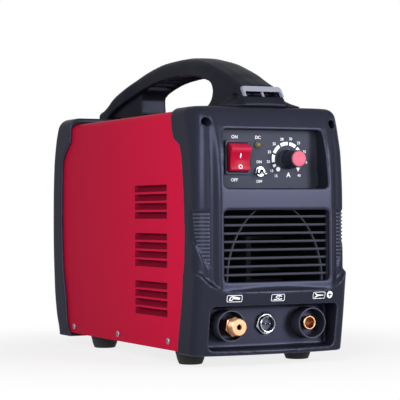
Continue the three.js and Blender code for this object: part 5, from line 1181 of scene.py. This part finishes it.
knob = turned(
    behind(KNOB_BACK, (7.6, 0), (8.6, 0), (9, -0.4), (9, -3.1), (8.7, -3.7), (8.35, -4.2), (8.25, -5.2))
    + behind(KNOB_FACE, (8.0, 6), (7.85, 1.6), (7.7, 0.6), (7.5, 0.1), (7.2, 0), (7.2, 1.4))
    + behind(KNOB_FACE, (AXIS, 1.4), (AXIS, 7.7), (3.3, 7.7))
    + behind(KNOB_BACK, (3.3, -6), (7.6, -6)),
    KNOB_X, KNOB_Z, 160, fluted,
)
cap = turned(
    behind(KNOB_FACE, (AXIS, 1.2), (7, 1.2), (7, -0.1), (6.8, -0.45), (6.4, -0.65))
    + behind(KNOB_FACE, (5.4, -0.7), (4.6, -0.62), (AXIS, -0.6)),
    KNOB_X, KNOB_Z,
)
pointer = block(KNOB_X - 0.45, KNOB_X + 0.45, KNOB_BACK - 3.0, KNOB_BACK - 0.5, KNOB_Z + 8.9, KNOB_Z + 9.12)
place(knob, "knob_grip", moulded_black_abs, "current_knob", body="current_dial", smooth=50)
place(cap, "knob_inlay", salmon_abs, "knob_cap", body="current_dial", smooth=40)
place(pointer, "knob_pointer", white_ink, body="current_dial")

# Prints of the control plate: switch words, dial scale and unit.
WORDS = (  # the text, its height, and its middle as (x, z)
    ("ON", 3.0, -33.0, 206.7), ("OFF", 3.0, -33.4, 167.9), ("A", 4.6, 22.3, 172.6),
    ("ON", 2.5, TOGGLE_X, 184.4), ("OFF", 2.5, TOGGLE_X, 166.6), ("DC", 2.9, LED_X, 206.6),
)
SCALE_BLOCKS = ((210, 197), (192, 162), (158, 123), (119, 86), (82, 52), (48, 20), (16, -10), (-14, -26))
SCALE_INNER, SCALE_OUTER = 12.9, 16.0
AMPERES = (  # the number and its place round the knob in degrees
    ("15", 233), ("18", 214), ("20", 187), ("23", 160), ("25", 133), ("28", 106), ("30", 79), ("33", 52),
    ("35", 22), ("38", -8), ("40", -51),
)


def lettering(text, height, x, z):
    """Printed characters on the control plate as a thin raised form, centred on (x, z)."""
    curve = bpy.data.curves.new("letters", "FONT")
    curve.body = text
    curve.align_x = curve.align_y = "CENTER"
    curve.size = height * 1.38
    curve.extrude = 0.04
    curve.offset = 0.012 * height
    curve.resolution_u = 3
    made = bpy.data.objects.new("letters", curve)
    scene.collection.objects.link(made)
    mesh = bpy.data.meshes.new_from_object(made.evaluated_get(bpy.context.evaluated_depsgraph_get()))
    points = [(x + v.co.x, PLATE_Y - v.co.z, z + v.co.y) for v in mesh.vertices]
    faces = [tuple(p.vertices) for p in mesh.polygons]
    bpy.data.objects.remove(made)
    return points, faces


def printed(outline, y=PLATE_Y):
    return prism(outline, "y", y - INK, y)


prints = [lettering(*word) for word in WORDS]
for start, end in SCALE_BLOCKS:
    outer, inner = [
        arc(KNOB_X, KNOB_Z, radius, start - 1.5, end + 1.5, 8) for radius in (SCALE_OUTER, SCALE_INNER)
    ]
    prints.append(printed(outer + inner[::-1]))
prints.append(printed(ring_points(11.6, 178.0, 2.1, 24)))
end_x, end_z = polar(KNOB_X, KNOB_Z, 14.5, -38)
prints.append(printed([(end_x - 2.2, end_z + 1.5), (end_x + 2.2, end_z + 1.5), (end_x, end_z - 2.2)]))
for text, degrees in AMPERES:
    x, z = polar(KNOB_X, KNOB_Z, 19.6, degrees)[0], polar(KNOB_X, KNOB_Z, 19.0, degrees)[1]
    prints.append(lettering(text, 2.5, x, z))
place(together(*prints), "plate_prints", white_ink)

# ---------------------------------------------------------------- connectors

COLLAR_BACK = POCKET_BACK - GAP
COLLAR_FLOOR = COLLAR_BACK - 3
SLEEVE_BACK = COLLAR_FLOOR - GAP
INNER_FACE = POCKET_BACK + WALL + GAP
LEFT, RIGHT = -SOCKET_PITCH, SOCKET_PITCH
AVIATION_FACE = POCKET_BACK - 6.6


def collar(x, stem):
    """A cup round a connector, with a rolled rim and a hole for the connector's stem."""
    return turned(
        behind(COLLAR_BACK, (stem + GAP, 0), (13.9, 0), (14.4, -0.4), (14.5, -1.2), (14.3, -13.7))
        + behind(COLLAR_BACK, (14.1, -14.3), (13.6, -14.5), (13.1, -14.4), (12.8, -13.9))
        + behind(COLLAR_FLOOR, (12.3, -0.8), (11.6, 0), (stem + GAP, 0)),
        x, SOCKET_Z, 96,
    )


place(collar(LEFT, 7), "torch_cup", moulded_black_abs, "torch_collar")
place(collar(RIGHT, 5.5), "ground_cup", moulded_black_abs, "ground_collar")


def torch_fitting():
    """A hexagon with a threaded barrel in front, a stem through the wall and a bore."""
    face = SLEEVE_BACK - 17
    end = face - 9
    blank = prism(hexagon(LEFT, SOCKET_Z, 16, 0.3), "y", face, SLEEVE_BACK)
    chamfer = full([(7.75, face), (9.4, face + 1.1), (9.4, SLEEVE_BACK)], LEFT, SOCKET_Z)
    nut = eased(shared(blank, chamfer), 0.2)
    thread = grooves(face - 1.8, -1.3, 5, (7.8, 0), (7.75, -0.25), (7.15, -0.6), (7.15, -0.75))
    barrel = full(
        [(6.9, face + 1), (6.9, face - 1.2), *thread, (7.5, end + 0.5), (6.9, end)], LEFT, SOCKET_Z, 72,
    )
    whole = joined(nut, barrel, rod(7, SLEEVE_BACK - 1, INNER_FACE + 6, LEFT, SOCKET_Z))
    bore = behind(end, (2.8, -1), (2.6, 0.1), (2.0, 0.9)) + [(2.0, INNER_FACE + 12)]
    return cut(whole, full(bore, LEFT, SOCKET_Z, 40))


place(torch_fitting(), "torch_connector", machined_brass, "torch_fitting", smooth=30)

# Control socket: a threaded shell, its ring nut, and a dark insert with two pins and a key.
shell = full(
    behind(AVIATION_FACE, (6.4, 10), (6.4, 0.5), (6.7, 0.1), (7.3, 0), (7.7, 0.3))
    + grooves(AVIATION_FACE + 1.2, 1.0, 9, (7.9, 0), (7.55, 0.5))
    + behind(AVIATION_FACE, (7.6, 10.4), (7.6, 16)),
    0, SOCKET_Z, 72,
)
place(shell, "control_socket_shell", nickel_plate, "aviation_shell", smooth=30)
nut = eased(hex_nut(0, SOCKET_Z, 18, 8.2, COLLAR_BACK - 3, COLLAR_BACK, 0.2), 0.15)
place(nut, "control_socket_nut", nickel_plate, "aviation_nut", smooth=30)
insert = full(behind(AVIATION_FACE, (5.6, 5.5), (6.1, 5.9), (6.1, 9.7)), 0, SOCKET_Z, 48)
key = plate(0, SOCKET_Z + 5.6, 2.2, 1.4, 0.4, AVIATION_FACE + 0.8, AVIATION_FACE + 6, 3)
place(together(insert, key), "control_socket_insert", moulded_black_abs, "aviation_insert")
pin = behind(AVIATION_FACE + 1.2, (AXIS, 0), (0.45, 0.1), (0.75, 0.5), (0.8, 1), (0.8, 4), (AXIS, 4))
for name, x in (("aviation_left_pin", -2.4), ("aviation_right_pin", 2.4)):
    place(turned(pin, x, SOCKET_Z, 24), name + "_contact", machined_brass, name)

# Earth return socket: a turned sleeve with a rounded mouth.
socket = full(
    [(4.5, COLLAR_FLOOR + 3)]
    + behind(SLEEVE_BACK - 6.4, (4.5, 0.9), (4.7, 0.4), (5.2, 0), (6.0, 0), (6.4, 0.3), (6.5, 0.8))
    + [(6.5, SLEEVE_BACK), (5.5, SLEEVE_BACK), (5.5, INNER_FACE + 12)],
    RIGHT, SOCKET_Z,
)
place(socket, "ground_sleeve", machined_brass, "ground_socket", smooth=30)

# Printed symbols over the sockets: torch, trigger and clamp, each in a rounded box.
SIGN_HEIGHT, SIGN_LINE = 6.2, 0.9
SIGN_BOXES = ((-44.7, 62.6, 14.5), (-2.3, 62.4, 13.6), (41.3, 63.2, 13.6))  # middle (x, z), width
SIGN_STROKES = (  # the width of a line, and the points (x, z) along it
    (0.9, (-49.6, 60.9), (-48.4, 63.9), (-46.6, 64.3), (-39.6, 62.9)),
    (0.8, (-49.2, 61.0), (-46.9, 61.3), (-46.0, 62.9)),
    (1.5, (-46.2, 63.1), (-39.7, 62.2)),
    (0.9, (-6.6, 60.7), (-3.6, 60.7), (-2.6, 62.1), (-1.4, 60.8), (1.8, 61.2)),
    (0.9, (-4.6, 62.4), (-2.9, 64.2), (-0.2, 64.2), (-1.6, 62.6)),
    (0.7, (-0.2, 64.2), (1.6, 63.4)),
    (0.9, (36.6, 65.1), (38.6, 64.0), (40.6, 63.4), (45.9, 63.2)),
    (0.9, (36.6, 61.3), (38.6, 62.4), (40.6, 63.0), (45.9, 63.2)),
    (0.8, (38.6, 62.2), (38.6, 64.2)),
)
PLUS_X, PLUS_Z = 53.4, 63.4


def sign_box(x, z, width):
    outer = rounded_rect(x, z, width, SIGN_HEIGHT, 1.3, 5)
    inner = rounded_rect(x, z, width - SIGN_LINE, SIGN_HEIGHT - SIGN_LINE, 0.9, 5)
    rings = []
    for (ox, oz), (ix, iz) in zip(outer, inner):
        rings.append([(ox, -INK, oz), (ix, -INK, iz), (ix, 0.0, iz), (ox, 0.0, oz)])
    return loft(rings, looped=True)


def stroke(width, *line):
    """A printed line of even width through points (x, z), closed at its ends."""
    left, right = [], []
    for k, (x, z) in enumerate(line):
        ahead, back = line[min(k + 1, len(line) - 1)], line[max(k - 1, 0)]
        along = Vector((ahead[0] - back[0], ahead[1] - back[1])).normalized() * width / 2
        left.append((x - along.y, z + along.x))
        right.append((x + along.y, z - along.x))
    return printed(left + right[::-1], 0.0)


def on_chin(mark):
    """Lays a flat print on the chin's sloping, bowed face."""
    for vertex in mark.data.vertices:
        slope = (CHIN_FLAT - vertex.co.z) * CHIN_SLOPE
        vertex.co.y += NOSE + slope + CHIN_BOW * (vertex.co.x / HALF) ** 2 - 0.02
    return mark


boxes = [sign_box(*box) for box in SIGN_BOXES]
strokes = [stroke(*line) for line in SIGN_STROKES]
place(on_chin(solid(*boxes, *strokes)), "socket_symbols", white_ink)
cross = joined(*[plate(PLUS_X, PLUS_Z, *size, 0.2, -1, 1, 2) for size in ((4.2, 1.1), (1.1, 4.2))])
plus = cut(printed(ring_points(PLUS_X, PLUS_Z, 3.2, 40), 0.0), cross)
place(on_chin(plus), "plus_symbol", white_ink)

# ---------------------------------------------------------------- back of the machine

FAN_SEAT = FAN_FACE - GAP
FAN_FRONT = FAN_SEAT - 25
FAN_BORE, HUB = 57.0, 20.0
BLADES, BLADE_CLEARANCE = 7, 3.2
GUARD_RADII = (18, 24.3, 30.6, 36.9, 43.2, 49.5, 55.9)


def round_fan(form, count, start=0.0, y=0.0):
    """Copies of a form, evenly turned about the fan's axis."""
    return [about(form, seated(0, y, FAN_Z, start + 360 * i / count, "Y")) for i in range(count)]


def fan_struts():
    hub = tube(1.6, HUB, FAN_FRONT, FAN_FRONT + 4, 0, FAN_Z)
    spindle = rod(1.5, FAN_FRONT + 1, FAN_SEAT - 4, 0, FAN_Z, 24)
    strut = block(HUB - 2, FAN_BORE + 2, FAN_FRONT, FAN_FRONT + 3.5, -2.2, 2.2)
    return together(hub, spindle, *round_fan(strut, 4, 45))


def fan_rotor():
    """A hub cap and blades that are cambered, and flatter towards their tips."""
    front, back = FAN_FRONT + 5.6, FAN_SEAT - 3
    hub = turned(
        behind(front, (1.8, 0), (19, 0), (19.7, 0.3), (20, 1))
        + behind(back, (20, -2), (19.4, -0.6), (18.2, 0), (AXIS, 0), (AXIS, -0.5), (1.8, -0.5)),
        0, FAN_Z, 72,
    )
    rings = []
    for k in range(9):
        t = k / 8
        radius = HUB - 1 + (FAN_BORE - BLADE_CLEARANCE - HUB + 1) * t
        chord, turn = 7 + 6 * t ** 0.9, 0.95 - 0.45 * t ** 0.8
        upper, lower = [], []
        for s in (-1, -0.6, -0.2, 0.2, 0.6, 1):
            camber = 1.6 * (1 - s * s) * (0.4 + 0.6 * t)
            thick = 0.9 * (1 - 0.6 * s * s)
            upper.append((s * chord, camber + thick))
            lower.append((s * chord, camber - thick))
        across, along = math.cos(turn), math.sin(turn)
        rings.append([
            (a * across - b * along, (front + back) / 2 + a * along + b * across, radius)
            for a, b in upper + lower[::-1]
        ])
    return together(hub, *round_fan(loft(rings), BLADES))


def fan_guard():
    """Concentric steel wires welded to four arms."""
    front = FAN_SEAT + GAP + 1
    wires = [turned(ring_points(radius, front, 0.9, 12), 0, FAN_Z, 96) for radius in GUARD_RADII]
    arm = prism(ring_points(0, 0, 1.0, 12), "z", 17.5, FAN_BORE)
    return together(*wires, *round_fan(arm, 4, 45, front + 0.3))


ring = cut(
    plate(0, FAN_Z, 120, 120, 8, FAN_FRONT, FAN_SEAT),
    rod(FAN_BORE, FAN_FRONT - 1, FAN_SEAT + 1, 0, FAN_Z, 90),
)
place(eased(ring, 0.5), "fan_ring", moulded_black_abs, "fan_frame")
place(fan_struts(), "fan_struts", moulded_black_abs)
place(fan_rotor(), "fan_impeller", moulded_black_abs, "fan_rotor", body="fan", smooth=45)
place(fan_guard(), "fan_wires", zinc_plated_steel, "fan_guard", smooth=60)

REAR_FACE = REAR_SEAT + GAP
REAR_INSIDE = REAR_SEAT - 3 - GAP
CAP_RIBS, CAP_RIB_DEPTH = 24, 0.03


def ribbed(turn, y):
    ribs = REAR_FACE + 7 < y < REAR_SEAT + 16
    return -CAP_RIB_DEPTH * (0.5 + 0.5 * math.cos(CAP_RIBS * turn)) ** 3 if ribs else 0.0


# Cable gland: a hexagon against the wall and a domed cap with grip ribs.
gland_cap = turned(
    behind(REAR_FACE, (5, 5), (10.2, 5), (10.4, 5.4), (10.4, 7.4), (10.4, 6.4))
    + behind(REAR_SEAT, (10.4, 15), (10.1, 17.2), (9.2, 19.4), (8, 20.6), (7.2, 21), (5, 21)),
    FITTING_X, FITTING_Z, 144, ribbed,
)
gland_stem = tube(5, 8, REAR_INSIDE - 8, REAR_FACE + 1, FITTING_X, FITTING_Z)
gland_hex = hex_nut(FITTING_X, FITTING_Z, 22, 5, REAR_FACE, REAR_FACE + 6)
place(together(gland_cap, gland_stem), "gland_cap", moulded_black_abs, "cable_gland")
place(eased(gland_hex, 0.2), "gland_hex", moulded_black_abs)

# Air inlet: a hexagon and a nozzle with three barbs.
nozzle = turned(
    behind(REAR_FACE, (2.4, 5), (4, 5)) + grooves(REAR_FACE + 8, 4, 3, (4.7, -1), (4.75, -0.6), (3.5, 2.2))
    + behind(REAR_SEAT, (3.3, 19.6), (3.0, 20), (2.4, 20)),
    -FITTING_X, FITTING_Z, 56,
)
inlet_stem = tube(2.4, 6, REAR_INSIDE - 8, REAR_FACE + 1, -FITTING_X, FITTING_Z)
inlet_hex = hex_nut(-FITTING_X, FITTING_Z, 15, 2.4, REAR_FACE, REAR_FACE + 6)
place(together(nozzle, inlet_stem), "inlet_barb", machined_brass, "gas_inlet")
place(eased(inlet_hex, 0.2), "inlet_hex", machined_brass, smooth=30)

# Earth terminal: a threaded stud held from inside, and its nut.
stud_thread = grooves(REAR_FACE + 0.5, 0.85, 14, (3.0, 0), (2.7, 0.42))
stud = full([(3, REAR_INSIDE - 1), *stud_thread, (2.4, REAR_SEAT + 12.8)], 0, FITTING_Z, 48)
stud_head = prism(hexagon(0, FITTING_Z, 10), "y", REAR_INSIDE - 4, REAR_INSIDE)
earth_nut = hex_nut(0, FITTING_Z, 10, 3.3, REAR_FACE, REAR_FACE + 5)
place(together(stud, stud_head), "earth_screw", zinc_plated_steel, "earth_stud")
place(eased(earth_nut, 0.15), "earth_hex_nut", zinc_plated_steel, "earth_nut", smooth=30)

# ---------------------------------------------------------------- screws

COVER_SCREWS = ((128.4, 19.8), (11.5, 19.8), (-105.5, 20.9))  # (y, z) on each side


def pan_head(radius, height):
    """A domed head with a cross recess, its seat on x = 0 and facing -X."""
    profile = [
        (AXIS, 0), (radius, 0), (radius, -height * 0.35), (radius * 0.86, -height * 0.75),
        (radius * 0.5, -height * 0.97), (AXIS, -height),
    ]
    head = solid(turned(profile, sides=32, axis="x"))
    for turn in (0.4, 0.4 + math.pi / 2):
        length, width = radius * 0.62, radius * 0.15
        slot = solid(block(-height - 1, -height * 0.4, -length, length, -width, width))
        slot.data.transform(Matrix.Rotation(turn, 4, "X"))
        head = cut(head, slot)
    form = [tuple(v.co) for v in head.data.vertices], [tuple(p.vertices) for p in head.data.polygons]
    bpy.data.objects.remove(head)
    return form


head = pan_head(3.1, 1.5)
left_heads = [about(head, Matrix.Translation((-COVER_HALF, y, z))) for y, z in COVER_SCREWS]
cover_heads = [form for left in left_heads for form in (left, mirrored(left))]
deep_heads = [about(head, seated(x, NOSE + 35.5, SCREW_Z, 90, "Z")) for x in SCREW_SIDES]
place(together(*cover_heads), "cover_screws", zinc_plated_steel, smooth=30)
place(together(*deep_heads), "panel_screws", zinc_plated_steel, smooth=30)

# ---------------------------------------------------------------- finishes of the frame's own pieces

INNER = (
    (zinc_plated_steel, "base_plate", "knob_shaft", "pot_body"), (nickel_plate, "pot_nut"),
    (printed_polycarbonate, "control_plate"), (glass_epoxy, "control_board", "power_board"),
    (machined_brass, "torch_nut", "ground_nut", "gas_valve"), (moulded_black_abs, "gland_nut"),
    (anodised_aluminium, "right_heat_sink", "left_heat_sink"),
    (sintered_ferrite, "transformer_core", "valve_coil"),
    (enamelled_copper, "transformer_coil", "output_choke"), (polyurethane_hose, "gas_hose"),
    (shrunk_sleeve, "left_capacitor", "middle_capacitor", "right_capacitor"),
)
for material, *names in INNER:
    for name in names:
        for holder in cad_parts[name].material_slots:
            holder.material = material

# ---------------------------------------------------------------- floor, light and camera

FLOOR_HALF = 6
GLOW_NEAR, GLOW_FAR, GLOW_UNDER = 0.1, 0.45, 0.8  # metres from the middle, and the share under it
FILL = 0.12

floor_mesh = bpy.data.meshes.new("floor")
corners = [(x * FLOOR_HALF, y * FLOOR_HALF, 0) for x, y in ((-1, -1), (1, -1), (1, 1), (-1, 1))]
floor_mesh.from_pydata(corners, [], [(0, 1, 2, 3)])
floor = bpy.data.objects.new("floor", floor_mesh)
scene.collection.objects.link(floor)
floor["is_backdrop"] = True


def seen_white(tree, share):
    """How far a camera, glossy or transmitted ray sees plain white instead of the lit surface."""
    path = add_node(tree, "ShaderNodeLightPath")
    value = path.outputs["Is Camera Ray"]
    for operation, other in (
        ("MAXIMUM", path.outputs["Is Glossy Ray"]), ("MAXIMUM", path.outputs["Is Transmission Ray"]),
        ("MULTIPLY", share),
    ):
        value = add_node(tree, "ShaderNodeMath", {0: value, 1: other}, operation=operation).outputs[0]
    return value


def fresh_tree(holder):
    holder.use_nodes = True
    holder.node_tree.nodes.clear()
    return holder.node_tree


paper = bpy.data.materials.new("white_paper")
tree = fresh_tree(paper)
lit = add_node(tree, "ShaderNodeBsdfDiffuse", {"Color": (0.9, 0.9, 0.9, 1)})
glow = add_node(tree, "ShaderNodeEmission", {"Color": (1, 1, 1, 1), "Strength": 1.0})
spot = add_node(tree, "ShaderNodeTexCoord").outputs["Object"]
away = add_node(tree, "ShaderNodeVectorMath", {0: spot}, operation="LENGTH").outputs["Value"]
sockets = {"Value": away, "From Min": GLOW_NEAR, "From Max": GLOW_FAR, "To Min": GLOW_UNDER, "To Max": 1.0}
share = add_node(tree, "ShaderNodeMapRange", sockets, interpolation_type="SMOOTHSTEP").outputs["Result"]
mix = add_node(
    tree, "ShaderNodeMixShader", {0: seen_white(tree, share), 1: lit.outputs[0], 2: glow.outputs[0]},
)
add_node(tree, "ShaderNodeOutputMaterial", {"Surface": mix.outputs[0]})
floor_mesh.materials.append(paper)

world = bpy.data.worlds.new("studio")
scene.world = world
tree = fresh_tree(world)
fill = add_node(tree, "ShaderNodeBackground", {"Color": (0.93, 0.95, 1.0, 1), "Strength": FILL})
white = add_node(tree, "ShaderNodeBackground", {"Color": (1, 1, 1, 1), "Strength": 1.0})
mix = add_node(
    tree, "ShaderNodeMixShader", {0: seen_white(tree, 1.0), 1: fill.outputs[0], 2: white.outputs[0]},
)
add_node(tree, "ShaderNodeOutputWorld", {"Surface": mix.outputs[0]})


def softbox(name, location, target, size, watts):
    data = bpy.data.lights.new(name, "AREA")
    data.shape = "RECTANGLE"
    data.size, data.size_y = size
    data.energy = watts
    lamp = bpy.data.objects.new(name, data)
    lamp.location = location
    lamp.rotation_mode = "QUATERNION"
    lamp.rotation_quaternion = (Vector(target) - Vector(location)).to_track_quat("-Z", "Y")
    scene.collection.objects.link(lamp)


softbox("key_softbox", (0.82, -1.7, 0.5), (0, -0.15, 0.14), (0.5, 0.9), 27)
softbox("side_softbox", (-0.62, -0.8, 0.42), (-0.08, -0.12, 0.13), (0.5, 0.5), 7.5)

CAMERA_PLACE = (-0.68727, -1.43115, 0.13998)
CAMERA_TURNS = ((-26.1, "Z"), (90.41, "X"), (-0.34, "Z"))
camera_data = bpy.data.cameras.new("camera")
camera_data.sensor_width = 36
camera_data.lens = 142.4
camera = bpy.data.objects.new("camera", camera_data)
scene.collection.objects.link(camera)
aim = Matrix.Translation(CAMERA_PLACE)
for degrees, axis in CAMERA_TURNS:
    aim = aim @ Matrix.Rotation(math.radians(degrees), 4, axis)
camera.matrix_world = aim
scene.camera = camera

boxes = {"cad": cad_box, "visual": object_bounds()}
